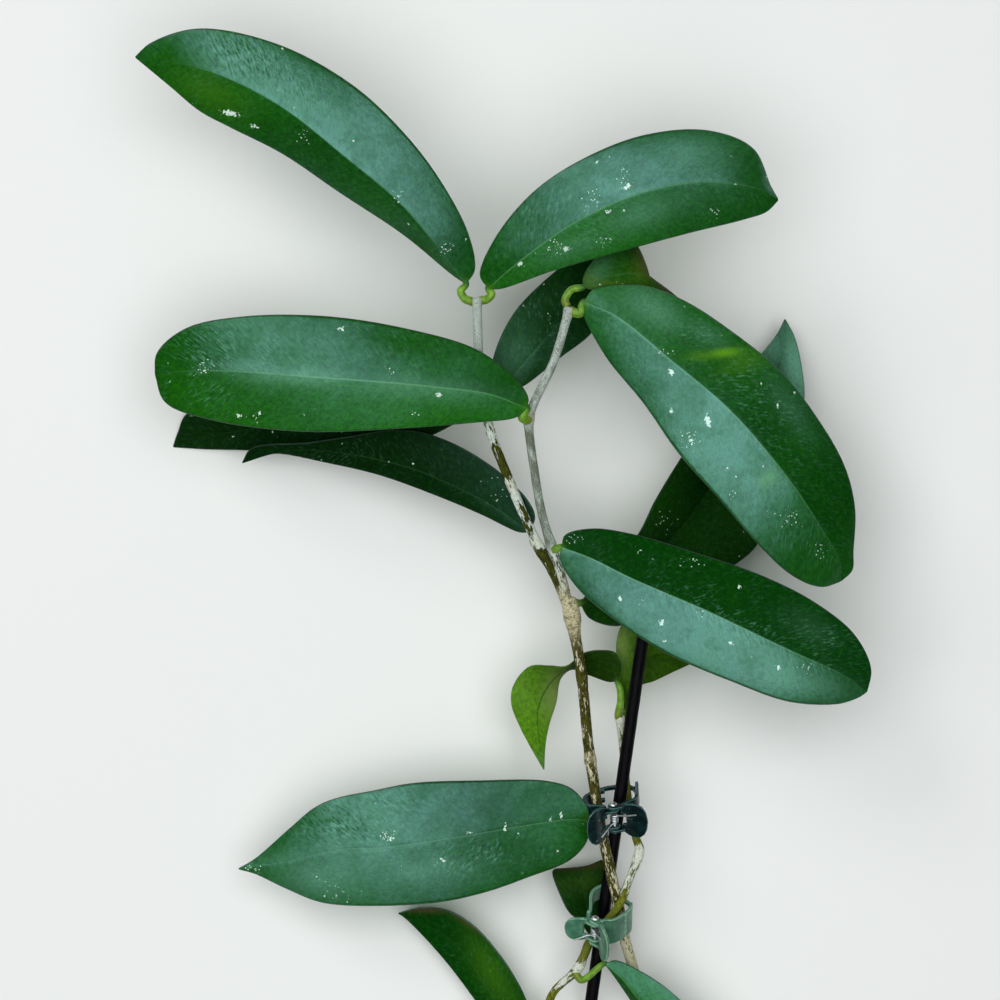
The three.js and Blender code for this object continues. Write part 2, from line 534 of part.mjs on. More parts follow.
const pinShape = () => {
  const profile = [
    [0, -6.3], [0.9, -6.3], [0.95, -PIN_REACH], [PIN_RADIUS, -PIN_REACH], [PIN_RADIUS, PIN_REACH],
    [1.5, PIN_REACH], [1.3, 6.2], [0.7, 6.6], [0, 6.7],
  ];
  const turned = new THREE.LatheGeometry(profile.map(([x, y]) => new THREE.Vector2(x, y)), 12);
  return solid(turned.rotateX(Math.PI / 2));
};

const springShape = () => {
  const { radius, wire, turns, pitch, sides, stepsPerTurn } = COIL;
  const steps = turns * stepsPerTurn;
  const coil = Array.from({ length: steps + 1 }, (_, i) => {
    const turn = -Math.PI / 2 + (2 * Math.PI * i) / stepsPerTurn;
    const height = (i / stepsPerTurn - turns / 2) * pitch;
    return new THREE.Vector3(radius * Math.cos(turn), radius * Math.sin(turn), height);
  });
  const lower = [[-5.9, -4.8, -4.3], [-3.2, -2.9, -2.6], [-1.2, -1.5, -1.65]];
  const upper = [[1.2, -1.5, 1.65], [3.4, -3.2, 2.2], [7.2, -5.7, 3.4]];
  const line = [...lower, ...coil.map((v) => v.toArray()), ...upper].map((v) => new THREE.Vector3(...v));
  const curve = new THREE.CatmullRomCurve3(line, false, 'centripetal');
  return limb(curve, () => wire, { sides, step: (2 * Math.PI * radius) / stepsPerTurn });
};

// Floor: what dips a hair below it is trimmed to a small flat spot

const FLOOR_SIZE = 700;
const aboveFloor = (shape) => {
  const block = new THREE.BoxGeometry(FLOOR_SIZE, FLOOR_SIZE, FLOOR_SIZE);
  return shape.intersect(solid(block.translate(0, 0, FLOOR_SIZE / 2)));
};

// Assembly

const plant = new THREE.Group();
const addPiece = (name, shape, material, carrier = plant) => {
  const mesh = new THREE.Mesh(geometryOf(shape), material);
  mesh.name = name;
  carrier.add(mesh);
};

addPiece('vine_main', aboveFloor(stemSolid(stems.vine_main, 0)), materials.bark);
addPiece('second_stem', aboveFloor(stemSolid(stems.second_stem, 0)), materials.secondStem);

const stakeCurve = new THREE.LineCurve3(...STAKE.map(at));
const stakeRod = limb(stakeCurve, () => STAKE_RADIUS, { sides: 20, step: 500 });
addPiece('stake', aboveFloor(stakeRod), materials.stake);

const fatStems = [stemSolid(stems.vine_main, GAP), stemSolid(stems.second_stem, GAP)];
for (const [name, leaf] of Object.entries(LEAVES)) {
  const thickness = leaf.young ? YOUNG_BLADE : BLADE;
  const whole = blade(leaf, thickness).add(stalk(leaf));
  const clear = fatStems.reduce((shape, stem) => shape.subtract(stem), whole);
  const skin = leaf.young ? materials.youngLeaf : materials[leaf.dark ? 'darkLeaf' : 'leaf'];
  addPiece(name, withoutScraps(aboveFloor(clear)), skin);
}

for (const [name, clip] of Object.entries(CLIPS)) {
  const seat = new THREE.Group();
  seat.position.copy(at(clip.pin));
  const [tilt, yaw, roll] = [clip.tilt - 90, clip.yaw, clip.roll].map(THREE.MathUtils.degToRad);
  const turn = new THREE.Matrix4().makeRotationZ(roll);
  turn.multiply(new THREE.Matrix4().makeRotationX(tilt)).multiply(new THREE.Matrix4().makeRotationZ(yaw));
  seat.rotation.setFromRotationMatrix(turn);
  addPiece(`${name}_jaw_left`, jaw(-1, LUG_LEVELS.left, clip.left), clip.plastic, seat);
  addPiece(`${name}_jaw_right`, jaw(1, LUG_LEVELS.right, clip.right), clip.plastic, seat);
  addPiece(`${name}_pin`, pinShape(), materials.steel, seat);
  addPiece(`${name}_spring`, springShape(), materials.steel, seat);
  plant.add(seat);
}

const bounds = new THREE.Box3().setFromObject(plant);
const middle = bounds.getCenter(new THREE.Vector3());
plant.position.set(-middle.x, -middle.y, -bounds.min.z);

export default plant;
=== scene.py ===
# %% [markdown]
# # A climbing hoya on its stake
#
# This lesson dresses a cut length of a climbing hoya that lies on its back: a woody vine that forks in
# two, a thinner second stem, a black stake, sixteen leaves and two small spring clips.
# The imported model gives the frame: every piece below is built in metres in that frame and replaces the
# plain solid that it stands for; all but the springs ride on one of its bodies.

# %% Load the frame
import math
from types import SimpleNamespace

import bpy
import numpy as np
from mathutils import Matrix, Vector, noise


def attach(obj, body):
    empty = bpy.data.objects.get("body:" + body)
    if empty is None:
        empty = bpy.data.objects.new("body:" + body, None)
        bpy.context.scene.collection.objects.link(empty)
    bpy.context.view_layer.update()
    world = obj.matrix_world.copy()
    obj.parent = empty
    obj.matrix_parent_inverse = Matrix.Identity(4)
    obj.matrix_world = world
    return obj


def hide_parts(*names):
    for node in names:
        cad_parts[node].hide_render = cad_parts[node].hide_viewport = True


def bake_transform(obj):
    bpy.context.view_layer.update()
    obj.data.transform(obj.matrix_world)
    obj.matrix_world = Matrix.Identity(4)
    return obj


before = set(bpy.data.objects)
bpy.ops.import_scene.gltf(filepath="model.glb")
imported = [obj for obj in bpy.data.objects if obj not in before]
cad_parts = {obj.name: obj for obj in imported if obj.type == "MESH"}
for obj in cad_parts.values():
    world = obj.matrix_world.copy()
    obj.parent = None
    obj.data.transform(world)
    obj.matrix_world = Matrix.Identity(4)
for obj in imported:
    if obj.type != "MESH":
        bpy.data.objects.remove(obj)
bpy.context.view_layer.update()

# %% [markdown]
# ## Places
#
# Each place is written as it looks from straight above: how far across, how far up, and how high over
# the floor, in millimetres. A height moves a point along the eye's line of sight, so the plan stays as
# it was drawn and the depth of a leaf can be chosen freely. The solids of the frame were plotted with
# the same three numbers, which is why the pieces land exactly on them.

# %% From a plotted place to a point in the frame
# The eye is EYE_HEIGHT over the sheet, and the sheet lies SHEET_HEIGHT over the floor.
MM = 0.001
EYE_HEIGHT = 1500
SHEET_HEIGHT = 45
SHIFT = np.array([-1.409, 36.353, 0.0])


def at(place):
    across, up, height = place
    spread = (EYE_HEIGHT + SHEET_HEIGHT - height) / EYE_HEIGHT
    return np.array([across * spread, up * spread, height]) + SHIFT


def plan_of(points):
    """The way back: where finished points lie on the sheet."""
    loose = points - SHIFT
    return loose[:, :2] * EYE_HEIGHT / (EYE_HEIGHT + SHEET_HEIGHT - loose[:, 2:])


print("the sheet's origin lies at", at([0, 0, SHEET_HEIGHT]))

# %% [markdown]
# ## Rails
#
# Stems and leaf margins are smooth lines through a few plotted places. A centripetal Catmull-Rom line
# passes through every place and never loops between two close ones, so it suits a margin whose places
# are unevenly spread. The line is sampled finely once, then read at even steps of its length.

# %% A smooth line through places
SAMPLES_PER_SPAN = 40
SAME_PLACE = 1e-4


def span_slopes(p0, p1, p2, p3):
    """The slopes with which the line leaves p1 and arrives at p2."""
    d0, d1, d2 = (np.sqrt(np.linalg.norm(b - a)) for a, b in ((p0, p1), (p1, p2), (p2, p3)))
    d1 = d1 if d1 > SAME_PLACE else 1.0
    d0 = d0 if d0 > SAME_PLACE else d1
    d2 = d2 if d2 > SAME_PLACE else d1
    leave = (p1 - p0) / d0 - (p2 - p0) / (d0 + d1) + (p2 - p1) / d1
    arrive = (p2 - p1) / d1 - (p3 - p1) / (d1 + d2) + (p3 - p2) / d2
    return leave * d1, arrive * d1


def rail(places, plotted=True):
    """The line through places of the sheet, or through finished points if they aren't plotted."""
    points = [at(place) for place in places] if plotted else [np.array(p, float) for p in places]
    ends = [2 * points[0] - points[1], *points, 2 * points[-1] - points[-2]]
    t = np.linspace(0, 1, SAMPLES_PER_SPAN, endpoint=False)[:, None]
    line = []
    for p0, p1, p2, p3 in zip(ends, ends[1:], ends[2:], ends[3:]):
        leave, arrive = span_slopes(p0, p1, p2, p3)
        line.append(
            (2 * t**3 - 3 * t**2 + 1) * p1 + (t**3 - 2 * t**2 + t) * leave
            + (3 * t**2 - 2 * t**3) * p2 + (t**3 - t**2) * arrive
        )
    return np.vstack([*line, points[-1][None]])


def run_length(line):
    """How far along the line each of its points lies."""
    return np.concatenate([[0], np.cumsum(np.linalg.norm(np.diff(line, axis=0), axis=1))])


def along(line, shares):
    """Points at these shares of the line's length."""
    run = run_length(line)
    return np.stack([np.interp(shares * run[-1], run, line[:, k]) for k in range(3)], axis=1)


def unit(vectors):
    return vectors / np.maximum(np.linalg.norm(vectors, axis=-1, keepdims=True), 1e-9)


bow = rail([[0, 0, SHEET_HEIGHT], [10, 10, SHEET_HEIGHT], [20, 0, SHEET_HEIGHT]])
print("a bow through three places is", round(run_length(bow)[-1], 1), "mm long")

# %% [markdown]
# ## Making a mesh
#
# Numpy works out the points and a mesh takes them in one go. Named attributes travel with the mesh:
# they tell a material how far along or across the piece a point lies, and where bark has peeled, so
# relief and colour always fall in the same place. Smooth shading hides the facets.

# %% From points to a piece
LOWEST = 0.02


def make_piece(name, points, faces, attributes, slots):
    """Points in millimetres, kept just off the floor; slots pair each finish with its own faces."""
    mesh = bpy.data.meshes.new(name)
    points = np.array(points)
    points[:, 2] = np.maximum(points[:, 2], LOWEST)
    mesh.from_pydata((points * MM).tolist(), [], faces)
    for label, values in attributes.items():
        values = np.asarray(values, np.float32)
        kind = "FLOAT" if values.ndim == 1 else "FLOAT_VECTOR"
        layer = mesh.attributes.new(label, kind, "POINT")
        layer.data.foreach_set("value" if values.ndim == 1 else "vector", values.ravel())
    for material, owned in slots:
        mesh.materials.append(material)
        for index in owned:
            mesh.polygons[index].material_index = len(mesh.materials) - 1
    mesh.shade_smooth()
    mesh.validate()
    piece = bpy.data.objects.new(name, mesh)
    bpy.context.scene.collection.objects.link(piece)
    return piece


def seat(piece, body, node):
    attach(piece, body)
    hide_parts(node)


print("every piece stays", LOWEST, "mm or more above the floor")

# %% [markdown]
# ## Tubes
#
# Stems, stalks, the stake, pins and springs are all rings of points round a line. The first ring's
# direction is chosen once and then carried from ring to ring, turned as little as the line's bends ask,
# so the surface doesn't twist.

# %% Rings of points round a line
STEEP = 0.9


def ring_faces(rings, sides):
    """Quads between rings whose points close into a loop."""
    quads = []
    for i in range(rings - 1):
        here, there = i * sides, (i + 1) * sides
        for k in range(sides):
            turn = (k + 1) % sides
            quads.append((here + k, here + turn, there + turn, there + k))
    return quads


def tube(line, radius_at, sides, step, shares=None):
    """Returns points, faces, and each point's share of the length and turn round the line.

    radius_at takes a ring's share of the length and its turns, and gives a radius for each turn.
    """
    rings = max(4, round(run_length(line)[-1] / step))
    shares = np.linspace(0, 1, rings + 1) if shares is None else shares
    centres = along(line, shares)
    ahead = unit(np.gradient(centres, axis=0))
    aside = [0, 0, 1] if abs(ahead[0][2]) < STEEP else [0, 1, 0]
    out = unit(np.cross(ahead[0], aside))
    rows = []
    turns = np.linspace(0, 2 * math.pi, sides, endpoint=False)
    for centre, forward, share in zip(centres, ahead, shares):
        out = unit(out - forward * (out @ forward))
        side = np.cross(forward, out)
        radii = radius_at(share, turns)[:, None]
        rows.append(centre + radii * (np.cos(turns)[:, None] * out + np.sin(turns)[:, None] * side))
    count = len(shares)
    last = (count - 1) * sides
    caps = [tuple(reversed(range(sides))), tuple(range(last, last + sides))]
    faces = [*ring_faces(count, sides), *caps]
    return np.vstack(rows), faces, np.repeat(shares, sides), np.tile(turns, count)


def even(radius):
    """The same radius everywhere, for a wire."""
    return lambda share, turns: np.full(len(turns), radius)


bow_points, bow_faces, _, _ = tube(bow, even(1.0), 12, 2)
print("a tube along the bow has", len(bow_points), "points and", len(bow_faces), "faces")


# %% [markdown]
# ## Writing shaders as sums
#
# A material is a graph of nodes. Wiring each one by hand hides the idea, so a small class wraps a
# socket and lets ordinary operators add the Math nodes: `1 - mask` then reads as it is meant. Colours
# go through Mix nodes, because a Math node would turn them grey. Every other node comes from `node`.

# %% A socket that does sums
class Wire:
    """An output of a node; sums with it add Math nodes."""

    def __init__(self, finish, socket):
        self.finish = finish
        self.socket = socket

    def _math(self, operation, *values):
        sockets = dict(enumerate(values))
        return self.finish.node("ShaderNodeMath", {"operation": operation}, sockets)

    def __add__(self, other):
        return self._math("ADD", self, other)

    __radd__ = __add__

    def __sub__(self, other):
        return self._math("SUBTRACT", self, other)

    def __rsub__(self, other):
        return self._math("SUBTRACT", other, self)

    def __mul__(self, other):
        return self._math("MULTIPLY", self, other)

    __rmul__ = __mul__

    def __abs__(self):
        return self._math("ABSOLUTE", self)

    def between(self, low, high):
        """0 below low, 1 above high and a smooth step between; swap them to fall instead."""
        first, last = (1.0, 0.0) if low > high else (0.0, 1.0)
        sockets = {"Value": self, "From Min": min(low, high), "From Max": max(low, high)}
        sockets |= {"To Min": first, "To Max": last}
        return self.finish.node("ShaderNodeMapRange", {"interpolation_type": "SMOOTHSTEP"}, sockets)


print("sums on a wire that add a node: +, -, * and abs, and between() for a soft step")

# %% [markdown]
# ## Finishes
#
# A finish is a material being written. It offers the few things that every skin below is made of: clouds
# and cells of noise, colours mixed by a share, relief as a bump, and the shader at the end.

# %% A material being written
MIX_SHARE, MIX_FIRST, MIX_SECOND, MIX_COLOUR = 0, 6, 7, 2


class Finish:
    """A material, with a method for each kind of node that the skins below need."""

    def __init__(self, name):
        self.material = bpy.data.materials.new(name)
        self.material.use_nodes = True
        self.tree = self.material.node_tree
        self.shader = self.tree.nodes["Principled BSDF"]

    def feed(self, socket, value):
        if isinstance(value, Wire):
            self.tree.links.new(value.socket, socket)
        elif isinstance(value, tuple) and len(value) == 3 and socket.type == "RGBA":
            socket.default_value = (*value, 1.0)
        else:
            socket.default_value = value

    def node(self, kind, settings, sockets, output=0):
        made = self.tree.nodes.new(kind)
        for label, value in settings.items():
            setattr(made, label, value)
        for label, value in sockets.items():
            self.feed(made.inputs[label], value)
        return Wire(self, made.outputs[output])

    def read(self, attribute, output="Fac"):
        return self.node("ShaderNodeAttribute", {"attribute_name": attribute}, {}, output)

    def clouds(self, where, scale, detail=2.0, rough=0.5):
        sockets = {"Vector": where, "Scale": scale, "Detail": detail, "Roughness": rough}
        return self.node("ShaderNodeTexNoise", {}, sockets)

    def cells(self, where, scale, output="Distance"):
        """How far the middle of the cell is, or with output Color a colour of its own for each cell."""
        return self.node("ShaderNodeTexVoronoi", {}, {"Vector": where, "Scale": scale}, output)

    def cell_luck(self, where, scale):
        """A number of its own for each cell, from 0 to 1."""
        return self.node("ShaderNodeSeparateColor", {}, {"Color": self.cells(where, scale, "Color")})

    def stretch(self, vector, factors):
        return self.node("ShaderNodeVectorMath", {"operation": "MULTIPLY"}, {0: vector, 1: factors})

    def tint(self, share, first, second):
        """first where share is 0, second where it is 1."""
        sockets = {MIX_SHARE: share, MIX_FIRST: first, MIX_SECOND: second}
        return self.node("ShaderNodeMix", {"data_type": "RGBA"}, sockets, MIX_COLOUR)

    def bump(self, height, distance, strength=1.0):
        sockets = {"Height": height, "Distance": distance * MM, "Strength": strength}
        return self.node("ShaderNodeBump", {}, sockets)

    def fill(self, shader, sockets):
        for label, value in sockets.items():
            self.feed(shader.inputs[label.replace("_", " ")], value)

    def end(self, **sockets):
        self.fill(self.shader, sockets)
        return self.material

    def shown_where(self, share, **sockets):
        """The shader shows where share is 1; where it is 0, a second one with these sockets does."""
        under = self.tree.nodes.new("ShaderNodeBsdfPrincipled")
        self.fill(under, sockets)
        layers = {1: Wire(self, under.outputs["BSDF"]), 2: Wire(self, self.shader.outputs["BSDF"])}
        both = self.node("ShaderNodeMixShader", {}, {"Fac": share, **layers})
        self.tree.links.new(both.socket, self.tree.nodes["Material Output"].inputs["Surface"])
        return self.material


def from_screen(red, green, blue):
    """A colour given on a screen's scale, 0 to 255, as the linear colour that a shader takes."""
    parts = [c / 255 for c in (red, green, blue)]
    return tuple(c / 12.92 if c <= 0.04045 else ((c + 0.055) / 1.055) ** 2.4 for c in parts)


print("deep leaf green in linear numbers:", [round(c, 3) for c in from_screen(20, 80, 34)])

# %% [markdown]
# ## The leaf's skin
#
# A hoya leaf is thick and waxy. Its upper face is a deep green. It is brushed by fine side veins, creased
# like leather in places, and dusted with silvery flecks: lone dots, dusty spots and a few bigger
# splashes. A thin pale line runs down the midrib and a thin dark one along the margin. The underside is
# paler and duller.
#
# All of this is finer than the mesh, so it is drawn in the material. Two sets of coordinates travel with
# the mesh, in millimetres: `flat` runs across and along the leaf, and `veins` is the same sheet sheared
# so that its first axis follows the side veins, mirrored at the midrib. What differs from leaf to leaf
# travels as named attributes, which the next cells paint.

# %% Silvery flecks
SILVER = from_screen(206, 228, 214)
LONE_CELLS = 0.5
FINE_CELLS = 1.6


def fleck_mask(skin, flat):
    """Few lone dots everywhere, fine ones where there is dust, and splashes with ragged edges."""
    dust = skin.read("dust")
    grains = skin.clouds(flat, 1.25, 3.0, 0.6)
    lone = (skin.cell_luck(flat, LONE_CELLS) + dust * 0.03).between(0.986, 0.996)
    lone = lone * (skin.cells(flat, LONE_CELLS) + (grains - 0.5) * 1.1).between(0.22, 0.1)
    fine = (skin.cell_luck(flat, FINE_CELLS) + dust * 0.46).between(0.985, 1.1)
    fine = fine * (skin.cells(flat, FINE_CELLS) + (grains - 0.5) * 1.5).between(0.4, 0.2) * 1.6
    splash = (skin.read("splash") * 0.95 + (grains - 0.5) * 2.0).between(0.5, 0.6)
    return (lone + fine + splash).between(0.0, 1.0)


print("a lone dot's cell is", 1 / LONE_CELLS, "mm wide and a fine one's", 1 / FINE_CELLS)

# %% [markdown]
# The greens are laid one over another, as a painter would: a ground between deep and fresh green, which
# is partly painted light, with painted shade in its hollows and painted light on its crests, then painted
# sheen, yellow and brown places, and last the lines of the rib and the margin. A young leaf has hardly
# any leather, painted crest highlights or dark margin yet, so `grown` says how much of them shows.

# %% Greens of a leaf
MARGIN_BROWN = from_screen(50, 38, 44)
SCORCHED = from_screen(84, 66, 42)
# The next colour is painted sheen: the cool teal grey of a leaf that mirrors the light, laid on as colour.
PAINTED_SHEEN = from_screen(118, 180, 152)
SHADE = 0.45


def leaf_patterns(skin):
    """Clouds of several sizes on the leaf, from broad ones down to pores."""
    flat, veins = skin.read("flat", "Vector"), skin.read("veins", "Vector")
    return SimpleNamespace(
        flat=flat,
        broad=skin.clouds(flat, 0.035, 2.0),
        patchy=skin.clouds(flat, 0.12, 3.0, 0.6),
        mottle=skin.clouds(flat, 0.8, 4.0, 0.65),
        leather=skin.clouds(skin.stretch(flat, (0.62, 0.5, 1.0)), 1.0, 5.0, 0.72),
        pores=skin.clouds(flat, 2.8, 2.0),
        brushed=skin.clouds(skin.stretch(veins, (0.16, 0.7, 1.0)), 1.0, 4.0, 0.6),
        crumple=skin.clouds(skin.stretch(veins, (0.5, 0.85, 1.0)), 1.0, 4.0, 0.65),
        crinkle=skin.read("crinkle") + 0.16,
        edge=skin.read("edge_mm"),
        upper=skin.read("upper"),
    )


def ground_green(skin, seen, deep, fresh, grown):
    shade = tuple(SHADE * c for c in deep)
    # The fresh tone is partly painted light: a half facing the light is painted fresher, one facing away or
    # in shade deeper.
    freshness_and_light = skin.read("fresh") + (seen.broad - 0.5) * 0.5
    green = skin.tint(freshness_and_light.between(0.0, 1.0), deep, fresh)
    green = skin.tint(seen.mottle.between(0.62, 0.36) * 0.3, green, shade)
    # Painted shade in the hollows of the leather and, below, of the side veins; painted light on the
    # leather's crests.
    green = skin.tint(seen.leather.between(0.56, 0.36) * 0.34, green, shade)
    green = skin.tint(seen.leather.between(0.5, 0.72) * (0.1 + 0.2 * grown), green, fresh)
    return skin.tint(seen.brushed.between(0.58, 0.38) * 0.18, green, shade)


def sheen_and_weathering(skin, seen, green, ripe, grown):
    """Painted sheen, and painted highlights on the crests of creases, then yellow and brown places."""
    # Painted light: sheen laid on in ovals and highlights on the crests of creases, both in the sheen
    # colour.
    crest_highlights = seen.crinkle * seen.crumple.between(0.5, 0.68) * seen.patchy.between(0.38, 0.56)
    green = skin.tint(skin.read("painted_sheen") * (0.45 + seen.mottle) + crest_highlights * (0.4 * grown), green, PAINTED_SHEEN)
    green = skin.tint(skin.read("ripe") * (0.75 + 0.5 * seen.mottle), green, ripe)
    return skin.tint(skin.read("brown"), green, SCORCHED)


def with_lines(skin, seen, green, rib_green, grown):
    rib = abs(skin.read("across_mm")).between(0.4, 0.1) * skin.read("rib")
    green = skin.tint(rib * 0.4, green, rib_green)
    margin = seen.edge.between(0.36, 0.12) * (0.25 + 0.7 * seen.patchy) * grown
    return skin.tint(margin, green, MARGIN_BROWN)


print("shade on a deep green:", [round(SHADE * c, 4) for c in from_screen(2, 60, 4)])

# %% [markdown]
# Wax lies in patches, and there the leaf mirrors the light in a cool blue-green. Roughness alone can't
# give that, because a rough skin still sends the same light back, only spread out. So there are two
# shaders, a glossy one and a dull one, and at each point the wax says how much of the glossy one shows.
# Creases and matt places have little of it, and a waxy rim catches the light along the margin.

# %% Wax and the whole skin
RIB_GREEN = from_screen(104, 158, 104)
WAX = (0.47, 0.98, 1.0, 1.0)


def wax_share(skin, seen, grown):
    smooth = 1 - seen.crinkle * seen.crumple.between(0.52, 0.38) * 0.75
    patches = (0.1 + 0.5 * seen.broad + 1.3 * seen.patchy) * (0.58 + 0.84 * seen.leather)
    rim = seen.edge.between(0.4, 0.2) * seen.upper * (0.35 * grown)
    return skin.read("wax") * smooth * (1 - skin.read("matt")) * patches + rim


def leaf_skin(name, deep, fresh, ripe, rib_green, roughness, grown):
    skin = Finish(name)
    seen = leaf_patterns(skin)
    green = ground_green(skin, seen, deep, fresh, grown)
    green = sheen_and_weathering(skin, seen, green, ripe, grown)
    green = with_lines(skin, seen, green, rib_green, grown)
    green = skin.tint(fleck_mask(skin, seen.flat) * seen.upper, green, SILVER)
    underside = tuple(0.7 * c + 0.12 * d + 0.012 for c, d in zip(fresh, ripe))
    colour = skin.tint(seen.upper, underside, green)
    height = seen.brushed * 0.14 + seen.leather * 0.6 + seen.pores * 0.05
    bump = skin.bump(height + seen.crumple * seen.crinkle * 0.9, 0.16)
    rough = roughness + 0.12 * (seen.mottle - 0.5) + 0.08 * (seen.broad - 0.5) + 0.2 * (1 - seen.upper)
    skin.end(
        Base_Color=colour, Roughness=rough, Normal=bump, IOR=1.62, Specular_IOR_Level=1.0,
        Specular_Tint=WAX,
    )
    return skin.shown_where(
        wax_share(skin, seen, grown),
        Base_Color=colour, Roughness=0.6, Normal=bump, Specular_IOR_Level=0.04,
    )


GREEN_LEAF = leaf_skin(
    "leaf_green", from_screen(2, 60, 4), from_screen(36, 116, 14), from_screen(96, 156, 20),
    RIB_GREEN, roughness=0.3, grown=1.0,
)
# The shaded finish is the green one with darker greens: painted shade for leaves that lie behind others.
SHADED_LEAF = leaf_skin(
    "leaf_shaded", from_screen(2, 40, 3), from_screen(34, 92, 12), from_screen(92, 116, 20),
    RIB_GREEN, roughness=0.38, grown=0.7,
)
YOUNG_LEAF = leaf_skin(
    "leaf_young", from_screen(26, 56, 4), from_screen(94, 150, 24), from_screen(120, 140, 76),
    from_screen(16, 46, 4), roughness=0.42, grown=0.15,
)
print("leaf finishes:", [m.name for m in (GREEN_LEAF, SHADED_LEAF, YOUNG_LEAF)])

# %% [markdown]
# ## The leaf stalk's skin
#
# The short thick stalks are deep green where they come out of the blade, lime green where light falls on
# them, and tinged with brown at the joint with the stem. The share along the stalk drives that change.
# It travels as `ripe`, so that blade and stalk carry the same attributes.

# %% Stalk finish
def stalk_skin():
    skin = Finish("leaf_stalk")
    flat = skin.read("flat", "Vector")
    spots = skin.clouds(flat, 0.5, 3.0)
    share = skin.read("ripe")
    lime = skin.tint(spots.between(0.35, 0.7), from_screen(84, 130, 18), from_screen(120, 168, 40))
    lime = skin.tint(share.between(-0.05, 0.22), from_screen(24, 92, 12), lime)
    joint = (share + (spots - 0.5) * 0.5).between(0.55, 0.95)
    colour = skin.tint(joint * 0.5, lime, from_screen(112, 84, 28))
    bump = skin.bump(skin.clouds(flat, 2.0, 2.0), 0.1, 0.5)
    return skin.end(Base_Color=colour, Roughness=0.4, Normal=bump, IOR=1.45)


STALK = stalk_skin()
print("stalk finish:", STALK.name)
